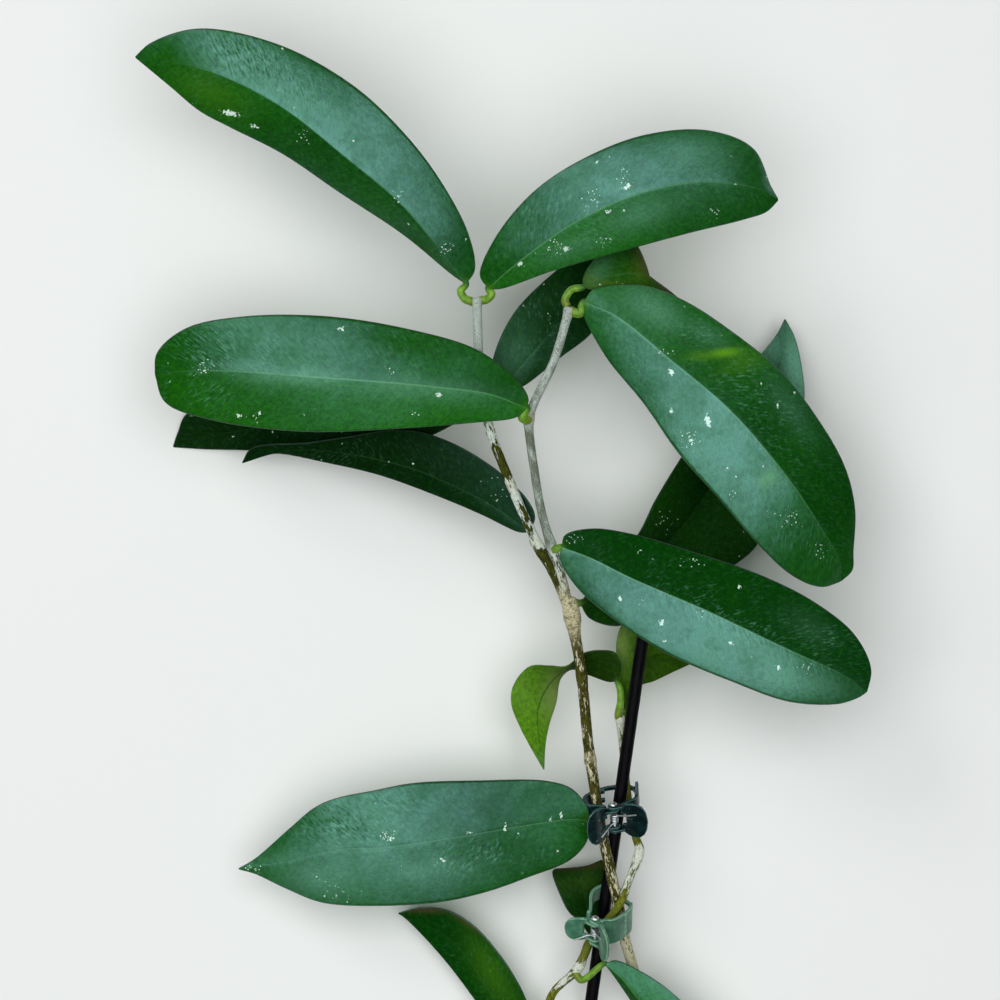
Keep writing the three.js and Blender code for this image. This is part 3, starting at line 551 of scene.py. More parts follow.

# %% [markdown]
# ## Touches
#
# What sets one leaf apart from another is listed here: splashes, dusty spots, creases, painted sheen, matt
# places, and where the green turns yellow or brown. Each touch is a soft oval: its middle on the plotting
# sheet, its two half widths, its turn in degrees and its strength.

# %% Touches leaf by leaf
TOUCHES = {
    "leaf_top_left": {
        "splash": [((-97.2, 139.3), (3.8, 1.0), -14, 1.05), ((-88.6, 134.6), (1.9, 0.8), -8, 0.9)],
        "dust": [((-70.6, 130.7), (2.6, 2.2), 0, 1.0), ((-36.7, 108), (2, 3), 0, 0.8),
                 ((-20, 90), (3, 3), 0, 0.7)],
        "crinkle": [((-92, 160), (17, 8), -22, 1.0), ((-72, 149), (12, 7), -35, 0.5)],
        "ripe": [((-104, 147), (14, 6), -28, 0.15)],
        "matt": [((-121, 158), (12, 10), 0, 1.0)],
    },
    "leaf_top_right": {
        "splash": [((34.2, 121.7), (1.1, 1.1), 0, 0.8), ((45.6, 112.6), (2.6, 1.0), 25, 1.0),
                   ((39, 103.8), (1.4, 0.8), 20, 1.0), ((23.8, 90.4), (1.4, 1.3), 0, 0.9),
                   ((7.4, 85), (1, 1.2), 0, 1.0)],
        "dust": [((45, 116.6), (2.5, 3), 0, 1.0), ((33.1, 109.8), (3, 3), 0, 1.0),
                 ((35.6, 106.9), (1.5, 1.5), 0, 1.0), ((20, 90.5), (5, 2.5), 10, 0.9),
                 ((36.6, 93.6), (3.5, 2), 0, 0.8), ((77.6, 103), (1.5, 2), 0, 0.9),
                 ((82.7, 123.6), (1, 1.4), 0, 1.0)],
        "crinkle": [((11, 100), (13, 7), 50, 0.5), ((30, 97), (14, 4), 25, 0.5)],
        "painted_sheen": [((26, 91), (14, 4.5), 22, 0.17), ((50, 103), (14, 5), 18, 0.22),
                  ((68, 126), (14, 6), 0, 0.16)],
    },
    "leaf_behind_fork": {
        "dust": [((17, 67), (2, 4), 20, 0.2)],
        "painted_sheen": [((5, 50), (5, 10), -30, 0.12)],
        "crinkle": [((16, 66), (9, 12), 0, 0.5)],
    },
    "leaf_middle_left": {
        "splash": [((-57.2, 61.6), (1.1, 1), 0, 1.0), ((-22, 37.8), (1.4, 0.9), 0, 1.0),
                   ((-94, 30.2), (1.4, 0.8), 0, 1.0), ((-86.4, 31.3), (1.1, 0.8), 0, 0.9)],
        "dust": [((-88, 29.8), (5, 1.6), 0, 0.6), ((-106, 48), (5, 3), 20, 0.7),
                 ((-39, 46.8), (3, 2), 0, 0.5), ((-30.6, 31), (2, 1), 0, 0.7)],
        "crinkle": [((-106, 49), (13, 15), 0, 1.0), ((-80, 50), (14, 10), 0, 0.35),
                    ((-34, 56), (14, 6), -10, 0.5)],
        "matt": [((-123, 46), (10, 20), -10, 1.0), ((-33, 57), (17, 6), -8, 0.8)],
        "painted_sheen": [((-28, 40), (26, 4), -5, 0.2), ((-74, 44.5), (20, 3.2), -3, 0.3),
                  ((-92, 48), (9, 3), 0, 0.26)],
    },
    "leaf_right_front": {
        "splash": [((61.6, 46), (1.5, 1.1), -30, 1.0), ((61.9, 32.2), (1, 1), 0, 1.0),
                   ((74.9, 28.1), (1.1, 2.8), 15, 1.0), ((68.8, 20.9), (1.6, 1.1), -20, 0.95),
                   ((81.4, 11.7), (0.9, 0.9), 0, 1.0), ((99.7, 34.3), (0.9, 0.8), 0, 1.0)],
        "dust": [((104, -7.9), (3, 3), 0, 1.0), ((97.2, -4.3), (1.6, 1), 0, 0.9),
                 ((60, 53), (3, 2), 0, 0.8), ((83.5, 2.3), (1.5, 1.5), 0, 0.8),
                 ((68, 22), (4, 3), 0, 0.7), ((115, -18), (3, 3), 0, 0.7)],
        "crinkle": [((92, 38), (24, 8), -52, 0.9), ((72, 60), (14, 7), -35, 0.5),
                    ((108, -14), (12, 8), -50, 0.4)],
        "ripe": [((81, 53), (6, 1.5), 6, 0.95), ((74, 52), (7, 1.8), 4, 0.4), ((88, 50), (10, 4), 20, 0.2),
                 ((96.5, 7.6), (3.6, 2.4), 40, 0.35)],
        "painted_sheen": [((55, 69), (13, 6), -30, 0.33), ((74, 60), (9, 4), -30, 0.18),
                  ((104, 34), (14, 5), -55, 0.12)],
    },
    "leaf_arched_back": {
        "brown": [((60, 78), (6, 2.5), -42, 0.7), ((52.5, 88.5), (2.6, 6), 0, 0.7)],
        "ripe": [((45, 75), (12, 2.8), -8, 0.7), ((32, 79), (3, 3), 0, 0.3), ((52, 83), (5, 5), -40, 0.3)],
        "painted_sheen": [((35, 82), (4, 7), -30, 0.15)],
        "dust": [((42, 76), (6, 2), 0, 0.8)],
    },
    "leaf_right_back": {
        "dust": [((60, -8), (4, 4), 0, 0.5)],
        "crinkle": [((99, 50), (6, 14), 20, 0.6)],
        "painted_sheen": [((106, 50), (5, 16), 12, 1.0), ((98, 56), (6, 9), 30, 0.7)],
    },
    "leaf_middle_right": {
        "splash": [((43.4, -35.6), (0.9, 1.3), 20, 1.0), ((58.1, -44.1), (1.3, 1.3), 0, 0.95),
                   ((83.1, -51.5), (1.2, 0.9), 0, 1.0), ((100.2, -60.4), (0.9, 1.3), 20, 0.95),
                   ((86.3, -31.3), (1, 1), 0, 1.0)],
        "dust": [((51.7, -36.2), (2, 2), 0, 0.9), ((110.7, -60.6), (2.5, 1.8), 0, 1.0),
                 ((50.2, -18.2), (1.6, 1), 20, 1.0), ((69, -22), (5, 2), 0, 0.7),
                 ((72, -40.9), (2, 1.5), 0, 0.8), ((26.6, -13.7), (2.5, 2), 0, 1.0)],
        "crinkle": [((85, -42), (28, 6), -24, 0.7), ((118, -52), (9, 9), 0, 0.7)],
        "painted_sheen": [((110, -66), (16, 5), -12, 0.24), ((112, -46), (10, 5), -30, 0.06)],
    },
    "leaf_left_shaded": {
        "dust": [((-2, 4), (6, 4), -30, 0.35)],
        "crinkle": [((-60, 17), (16, 5), 0, 0.4)],
    },
    "leaf_lower_left": {
        "splash": [((-38.9, -122), (1.3, 0.8), 0, 0.95), ((-20.5, -129.6), (0.8, 1.1), 0, 1.0),
                   ((-23.4, -131), (0.8, 0.7), -40, 0.9), ((1.7, -118.1), (0.6, 2.1), -10, 0.95),
                   ((22.1, -113.6), (0.6, 1.8), 5, 1.0), ((18.1, -114.9), (0.6, 1.6), 0, 0.75),
                   ((-11.6, -119.7), (1.5, 0.6), 0, 0.75)],
        "dust": [((-35.6, -132.3), (1.5, 1), 0, 0.9), ((7.1, -120.1), (1, 1), 0, 1.0),
                 ((9.4, -128.6), (1, 1.2), 0, 1.0), ((-89, -132.4), (3, 2), -10, 0.9),
                 ((-60, -140), (9, 2.5), -40, 0.5), ((-40, -121), (4, 2), 0, 0.7)],
        "crinkle": [((-59.4, -115.9), (15, 7), -12, 1.0), ((-7, -127.5), (17, 6), 8, 0.8),
                    ((-40, -108), (14, 5), 0, 0.4)],
        "painted_sheen": [((-64, -136), (16, 7), 0, 0.32), ((-26, -133), (18, 5), 4, 0.2)],
    },
    "young_leaf_twisted": {
        "ripe": [((20, -70), (4.5, 9), -15, 0.7), ((8, -70), (4, 8), 0, 0.15)],
        "crinkle": [((10, -76), (6, 14), 0, 0.5)],
        "painted_sheen": [((15, -96), (2.5, 5), 0, 0.12)],
    },
    "young_leaf_shaded": {"ripe": [((43.5, -52), (3.5, 9), 0, 0.6)]},
    "young_leaf_curled": {"brown": [((28, -131.5), (12, 1.6), 4, 0.7)],
                          "ripe": [((30, -138), (12, 4), 0, 0.1)]},
    "leaf_foot_left": {
        "brown": [((-28, -147.4), (10, 1.2), -2, 0.7), ((-10, -153), (10, 1.2), -32, 0.6)],
        "ripe": [((-3, -170), (5, 16), 30, 0.2)],
    },
}


def painted(kind, name, plan):
    """How strongly one kind of touch shows at each point of a leaf."""
    strength = np.zeros(len(plan))
    for (across, up), (long, wide), turn, amount in TOUCHES.get(name, {}).get(kind, []):
        cos, sin = math.cos(math.radians(turn)), math.sin(math.radians(turn))
        dx, dy = plan[:, 0] - across, plan[:, 1] - up
        oval = ((dx * cos + dy * sin) / long) ** 2 + ((dy * cos - dx * sin) / wide) ** 2
        strength = np.maximum(strength, amount * np.exp(-oval))
    return strength


OVALS = ("splash", "dust", "crinkle", "ripe", "brown", "painted_sheen", "matt")
for kind in OVALS:
    print(kind, "ovals:", sum(len(touches.get(kind, [])) for touches in TOUCHES.values()))

# %% [markdown]
# Two tones are noted half by half, at five places from the base to the tip: how much of the cool waxy
# sheen a half shows, and how fresh its green is. The fresh tone is partly painted light: a half that
# faces the light is painted fresher, one that faces away or lies in shade deeper. They change sharply at
# the midrib, as the two halves of a blade face different ways.

# %% Tones half by half
TONES = {
    "leaf_top_left": {"wax": ((0.34, 0.22, 0.18, 0.08, 0.1), (0.6, 0.7, 0.95, 1.0, 0.1)),
                      "fresh": ((0.6, 0.4, 0.3, 0.45, 0.5), (0.5, 0.35, 0.45, 0.45, 0.5))},
    "leaf_top_right": {"wax": ((0.1, 0.32, 0.9, 0.8, 0.5), (0.2, 0.3, 0.35, 0.36, 0.2)),
                       "fresh": ((0.5, 0.4, 0.4, 0.4, 0.4), (0.7, 0.9, 0.7, 0.5, 0.3))},
    "leaf_behind_fork": {"wax": ((0, 0.1, 0.1, 0.1, 0), (0, 0.2, 0.2, 0.1, 0)),
                         "fresh": ((0.5, 0.4, 0.3, 0.3, 0.3), (0.5, 0.4, 0.3, 0.3, 0.3))},
    "leaf_middle_left": {"wax": ((0.42, 0.15, 0.3, 0.13, 0.0), (0.1, 0.12, 0.5, 0.55, 0.0)),
                         "fresh": ((0.9, 0.8, 0.75, 0.6, 0.4), (0.5, 0.45, 0.5, 0.5, 0.4))},
    "leaf_right_front": {"wax": ((0.3, 0.3, 0.15, 0.07, 0.02), (0.6, 0.75, 0.95, 0.6, 0.08)),
                         "fresh": ((0.6, 0.55, 0.32, 0.2, 0.3), (0.6, 0.5, 0.5, 0.5, 0.3))},
    "leaf_middle_right": {"wax": ((0.02, 0.0, 0.0, 0.03, 0.08), (0.7, 0.95, 1.0, 1.0, 0.8)),
                          "fresh": ((0.05, 0.05, 0.1, 0.12, 0.15), (0.4, 0.4, 0.5, 0.5, 0.4))},
    "leaf_left_shaded": {"wax": ((0.16, 0.05, 0.0, 0.0, 0.0), (0.16, 0.05, 0.0, 0.0, 0.0)),
                         "fresh": ((0.3, 0.05, -0.4, -0.3, -0.2), (0.3, 0.05, -0.4, -0.3, -0.2))},
    "leaf_left_low": {"fresh": ((0, 0, 0, 0.1, 0.2), (0, 0, 0, 0.1, 0.2))},
    "leaf_arched_back": {"fresh": ((0.8, 0.6, 0.3, 0.2, 0.2), (0.9, 0.7, 0.5, 0.3, 0.2))},
    "leaf_right_back": {"fresh": ((0.45, 0.4, 0.35, 0.4, 0.6), (0.4, 0.35, 0.3, 0.5, 0.7))},
    "leaf_lower_left": {"wax": ((0.15, 0.2, 0.75, 1.0, 0.7), (0.15, 0.3, 0.65, 0.8, 0.7)),
                        "fresh": ((0.45, 0.4, 0.45, 0.5, 0.5), (0.4, 0.35, 0.4, 0.5, 0.5))},
    "young_leaf_twisted": {"fresh": ((-0.1, 0.0, 0.6, 1.1, 1.3), (-0.1, 0.0, 0.6, 1.1, 1.3))},
    "young_leaf_shaded": {"fresh": ((0.5, 0.5, 0.5, 0.4, 0.3), (0.4, 0.4, 0.3, 0.2, 0.2))},
    "leaf_foot_left": {"fresh": ((0.2, 0.15, 0.15, 0.15, 0.2), (0.2, 0.15, 0.15, 0.15, 0.2))},
    "leaf_foot_right": {"wax": ((0.5, 0.5, 0.5, 0.5, 0.5), (0.1, 0.1, 0.1, 0.1, 0.1)),
                        "fresh": ((0.7, 0.8, 0.8, 0.8, 0.8), (0.4, 0.4, 0.4, 0.4, 0.4))},
}
PLAIN_TONE = {"wax": ((0.0,) * 5,) * 2, "fresh": ((0.4,) * 5,) * 2}


def toned(kind, name, shares, over):
    """The tone at each point, where over is negative on the left half."""
    left, right = (PLAIN_TONE | TONES.get(name, {}))[kind]
    places = np.linspace(0, 1, len(left))
    return np.where(over < 0, np.interp(shares, places, left), np.interp(shares, places, right))


print("leaves with touches of their own:", len(TOUCHES), "and with tones:", len(TONES))

# %% [markdown]
# ## The blade's surface
#
# Three rails carry a leaf: its two margins and the rib between them. Rows of points run from margin to
# margin, closer together at the leaf's two ends and towards its margins, where the surface bends most.
# Each half swells a little between rib and margin, as a fleshy leaf does.

# %% Rows from margin to margin
ROW_STEP = 0.9
HALF_COLUMNS = 25
CROWD_MARGIN = 1.2
ARCH = 0.02


def row_shares(length):
    rows = round(length / ROW_STEP)
    even_shares = np.arange(rows + 1) / rows
    return 0.5 * even_shares + 0.25 * (1 - np.cos(math.pi * even_shares))


def blade_rows(leaf):
    """Points by row and column, each column's reach from -1 to 1, each row's run, and half widths."""
    rails = [rail([leaf["base"], *leaf[side], leaf["tip"]]) for side in ("left", "rib", "right")]
    length = run_length(rails[1])[-1]
    shares = row_shares(length)
    port, spine, starboard = (along(line, shares) for line in rails)
    ahead = unit(np.gradient(spine, axis=0))
    reach = np.linspace(-1, 1, 2 * HALF_COLUMNS + 1)
    reach = np.sign(reach) * np.abs(reach) ** CROWD_MARGIN
    side = np.abs(reach)[None, :, None]
    span = np.where((reach < 0)[None, :, None], (port - spine)[:, None], (starboard - spine)[:, None])
    outward = np.cross(span, ahead[:, None]) * np.where(reach < 0, 1, -1)[None, :, None]
    wide = np.linalg.norm(span, axis=2, keepdims=True)
    swell = ARCH * 4 * side * (1 - side) * wide
    return spine[:, None] + span * side - unit(outward) * swell, reach, shares * length, wide[..., 0]


def grid_normals(points):
    normals = np.cross(np.gradient(points, axis=1), np.gradient(points, axis=0))
    normals[0], normals[-1] = normals[1], normals[-2]
    return unit(normals)


print("a leaf of 120 mm gets", len(row_shares(120)), "rows of", 2 * HALF_COLUMNS + 1, "points")

# %% [markdown]
# Fine relief follows the leaf's own sheets of coordinates: long soft waves, and the creases that were
# painted above. The second sheet is sheared, so the creases run slanting from the midrib as side veins do.

# %% Sheets and relief
VEIN_SLOPE = 0.8
WAVE_SIZE, CREASE_SIZE = 19, 2.2
WAVES, YOUNG_WAVES = 0.17, 0.3


def soft_noise(points, size, seed):
    return np.array([noise.noise(Vector(p / size) + Vector((seed, 0, 0))) for p in points])


def sheets(reach, run, wide, seed):
    """Flat coordinates in millimetres, and the sheared ones; no two leaves or halves share a patch."""
    over = reach[None] * wide
    down = np.repeat(run[:, None], wide.shape[1], 1)
    flat = np.stack([over, down, np.full_like(over, seed * 37.0)], axis=2)
    side = np.where(over < 0, 19.0, 0.0) + seed * 41.0
    veins = np.stack([abs(over), down - VEIN_SLOPE * abs(over), side], axis=2)
    return flat, veins


def relief(flat, veins, crinkle, seed, young):
    waves = soft_noise(flat * [1, 0.7, 1], WAVE_SIZE, seed)
    creases = soft_noise(veins * [0.55, 1.0, 1], CREASE_SIZE, seed + 5)
    return (YOUNG_WAVES if young else WAVES) * waves + (0.02 + 0.13 * crinkle) * creases


print("waves", WAVE_SIZE, "mm long and creases of", CREASE_SIZE, "mm")

# %% [markdown]
# ## The blade as a body
#
# A blade has a real thickness: full along the middle, thin at the rim, and rounded there. A shallow
# groove runs along the midrib above, and it stands out as a ridge below. The rows of the upper face, one
# rim, the underside and the other rim close into one loop per row. Base and tip close into a point.

# %% Upper face, rims and underside
THICK, YOUNG_THICK, RIM_THICK = 1.0, 0.8, 0.5
RIM_BULGE = 0.18
CALM_RIM = 0.1
GROOVE_DEPTH, GROOVE_WIDTH, RIDGE = 0.09, 0.5, 2.5


def blade_loop(points, reach, run, across, lumps, young):
    """Closes the surface into a fleshy body; its relief fades out at the rim and at both ends."""
    normals = grid_normals(points)
    ends = np.sin(math.pi * run / run[-1])[:, None] ** 0.5
    full = YOUNG_THICK if young else THICK
    half = (RIM_THICK + (full - RIM_THICK) * (1 - np.abs(reach) ** 6)[None] * ends) / 2
    lumps = lumps * np.clip((1 - np.abs(reach)) / CALM_RIM, 0, 1)[None] * ends
    groove = -GROOVE_DEPTH * np.exp(-((across / GROOVE_WIDTH) ** 2)) * ends
    top = points + normals * (half + lumps + groove)[..., None]
    bottom = points + normals * (-half + lumps + RIDGE * groove)[..., None]
    sides = unit(np.diff(points, axis=1))
    left_rim = points[:, 0] - sides[:, 0] * RIM_BULGE
    right_rim = points[:, -1] + sides[:, -1] * RIM_BULGE
    loop = np.concatenate([top, right_rim[:, None], bottom[:, ::-1], left_rim[:, None]], axis=1)
    middle = len(reach) // 2
    loop[0], loop[-1] = points[0, middle], points[-1, middle]
    return loop


print("a blade is", THICK, "mm thick, a young one", YOUNG_THICK, "and a rim", RIM_THICK)

# %% [markdown]
# Every point of the loop then gets its marks for the finish: the painted ovals, the tones, both sheets,
# how far the midrib and the margin are, how plainly the rib shows, and which face it lies on.

# %% Marks of a blade
RIB_SHOWS = {"leaf_top_left": 0.25, "leaf_middle_left": 1.2, "leaf_lower_left": 0.6, "leaf_foot_left": 0.1,
             "young_leaf_twisted": 1.6}
PLAIN_RIB, SHADED_RIB = 0.8, 0.15
RIB_START, RIB_FADE = 4, 0.45
PALE_BASE, PALE_REACH = 0.3, 0.018
RIM_SHARE = 0.6


def rib_strength(name, leaf, run):
    """It comes up over the first millimetres and fades over the last part of the run."""
    shown = RIB_SHOWS.get(name, SHADED_RIB if leaf.get("dark") else PLAIN_RIB)
    length = run[-1]
    return shown * np.clip(run / RIB_START, 0, 1) * np.clip((length - run) / (RIB_FADE * length), 0, 1)


def blade_marks(name, leaf, loop, reach, run, wide, flat, veins):
    rows, around = loop.shape[:2]
    columns = len(reach)
    order = [*range(columns), columns - 1, *range(columns - 1, -1, -1), 0]
    across = flat[:, order, 0].ravel()
    edge = np.minimum((1 - np.abs(reach))[None] * wide, (run[-1] - run)[:, None] * 0.7 + 0.1)
    shares = np.repeat(run / run[-1], around)
    plan = plan_of(loop.reshape(-1, 3))
    marks = {kind: painted(kind, name, plan) for kind in OVALS}
    marks["ripe"] = np.maximum(marks["ripe"], PALE_BASE * np.exp(-((shares / PALE_REACH) ** 2)))
    marks |= {kind: toned(kind, name, shares, across) for kind in ("wax", "fresh")}
    marks |= {"flat": flat[:, order].reshape(-1, 3), "veins": veins[:, order].reshape(-1, 3)}
    marks |= {"across_mm": across, "edge_mm": edge[:, order].ravel()}
    marks["rib"] = np.repeat(rib_strength(name, leaf, run), around)
    marks["upper"] = np.tile([1.0] * columns + [RIM_SHARE] + [0.0] * columns + [RIM_SHARE], rows)
    return marks


def blade(name, leaf, seed):
    young = leaf.get("young", False)
    points, reach, run, wide = blade_rows(leaf)
    flat, veins = sheets(reach, run, wide, seed)
    crinkle = painted("crinkle", name, plan_of(points.reshape(-1, 3)))
    lumps = relief(flat.reshape(-1, 3), veins.reshape(-1, 3), crinkle, seed, young)
    loop = blade_loop(points, reach, run, flat[..., 0], lumps.reshape(wide.shape), young)
    marks = blade_marks(name, leaf, loop, reach, run, wide, flat, veins)
    rows, around = loop.shape[:2]
    faces = [(a, d, c, b) for a, b, c, d in ring_faces(rows, around)]
    return loop.reshape(-1, 3), faces, marks


print("leaves whose rib was noted by eye:", list(RIB_SHOWS))

# %% [markdown]
# ## The stalk and the whole leaf
#
# A stalk starts inside the blade, under its rib, comes out at the base and bends round to the stem,
# where it thickens and ends round. Leaf and stalk are one piece of the real plant, so they are one object
# here, with two finishes.

# %% Stalk and whole leaf
TONGUE = 0.07
BURIED, NECK_DROP = 1.5, 0.8
THIN_START, FLARE = 0.3, 0.2
STALK_ROUND = 0.4
STALK_SIDES, STALK_STEP = 18, 0.4


def stalk(leaf, seed):
    rib = rail([leaf["base"], *leaf["rib"], leaf["tip"]])
    inside = along(rib, np.array([TONGUE]))[0] - [0, 0, BURIED]
    neck = at(leaf["base"]) - [0, 0, NECK_DROP]
    path = rail([inside, neck, *[at(p) for p in leaf["stalk"]]], plotted=False)
    length = run_length(path)[-1]
    entry = np.linalg.norm(inside - neck) / length
    size = leaf["stalk_radius"]

    def radius_at(share, turns):
        grown = min(1, share / (1.4 * entry))
        thick = (THIN_START + (1 - THIN_START) * grown) * (1 + FLARE * share**3)
        round_end = STALK_ROUND * math.exp((share - 1) * length / STALK_ROUND)
        return np.full(len(turns), size * (thick - round_end))

    points, faces, shares, turns = tube(path, radius_at, STALK_SIDES, STALK_STEP)
    flat = np.stack([turns * size, shares * length, np.full(len(turns), seed * 11.0)], axis=1)
    zeros = np.zeros(len(points))
    marks = dict.fromkeys((*OVALS, "wax", "fresh", "across_mm", "rib"), zeros)
    marks |= {"ripe": (shares - entry) / (1 - entry), "flat": flat, "veins": flat}
    marks |= {"edge_mm": zeros + 9, "upper": zeros + 1}
    return points, faces, marks


def join(parts):
    """Several bodies as one mesh; also says which faces each of them owns."""
    points = np.vstack([part[0] for part in parts])
    starts = np.cumsum([0, *[len(part[0]) for part in parts]])
    faces = [tuple(i + start for i in face) for part, start in zip(parts, starts) for face in part[1]]
    marks = {key: np.concatenate([part[2][key] for part in parts]) for key in parts[0][2]}
    counts = np.cumsum([0, *[len(part[1]) for part in parts]])
    return points, faces, marks, [range(a, b) for a, b in zip(counts, counts[1:])]


def grow_leaf(name, leaf, seed):
    points, faces, marks, (blade_faces, stalk_faces) = join([blade(name, leaf, seed), stalk(leaf, seed)])
    young, dark = leaf.get("young", False), leaf.get("dark", False)
    # A leaf marked dark lies in shade and takes the shaded finish, whose darker greens are painted shade.
    skin = YOUNG_LEAF if young else SHADED_LEAF if dark else GREEN_LEAF
    piece = make_piece(f"{name}_blade", points, faces, marks, [(skin, blade_faces), (STALK, stalk_faces)])
    seat(piece, "plant", name)
    return len(faces)


print("a stalk has", STALK_SIDES, "sides and runs under the first", TONGUE, "of the rib")
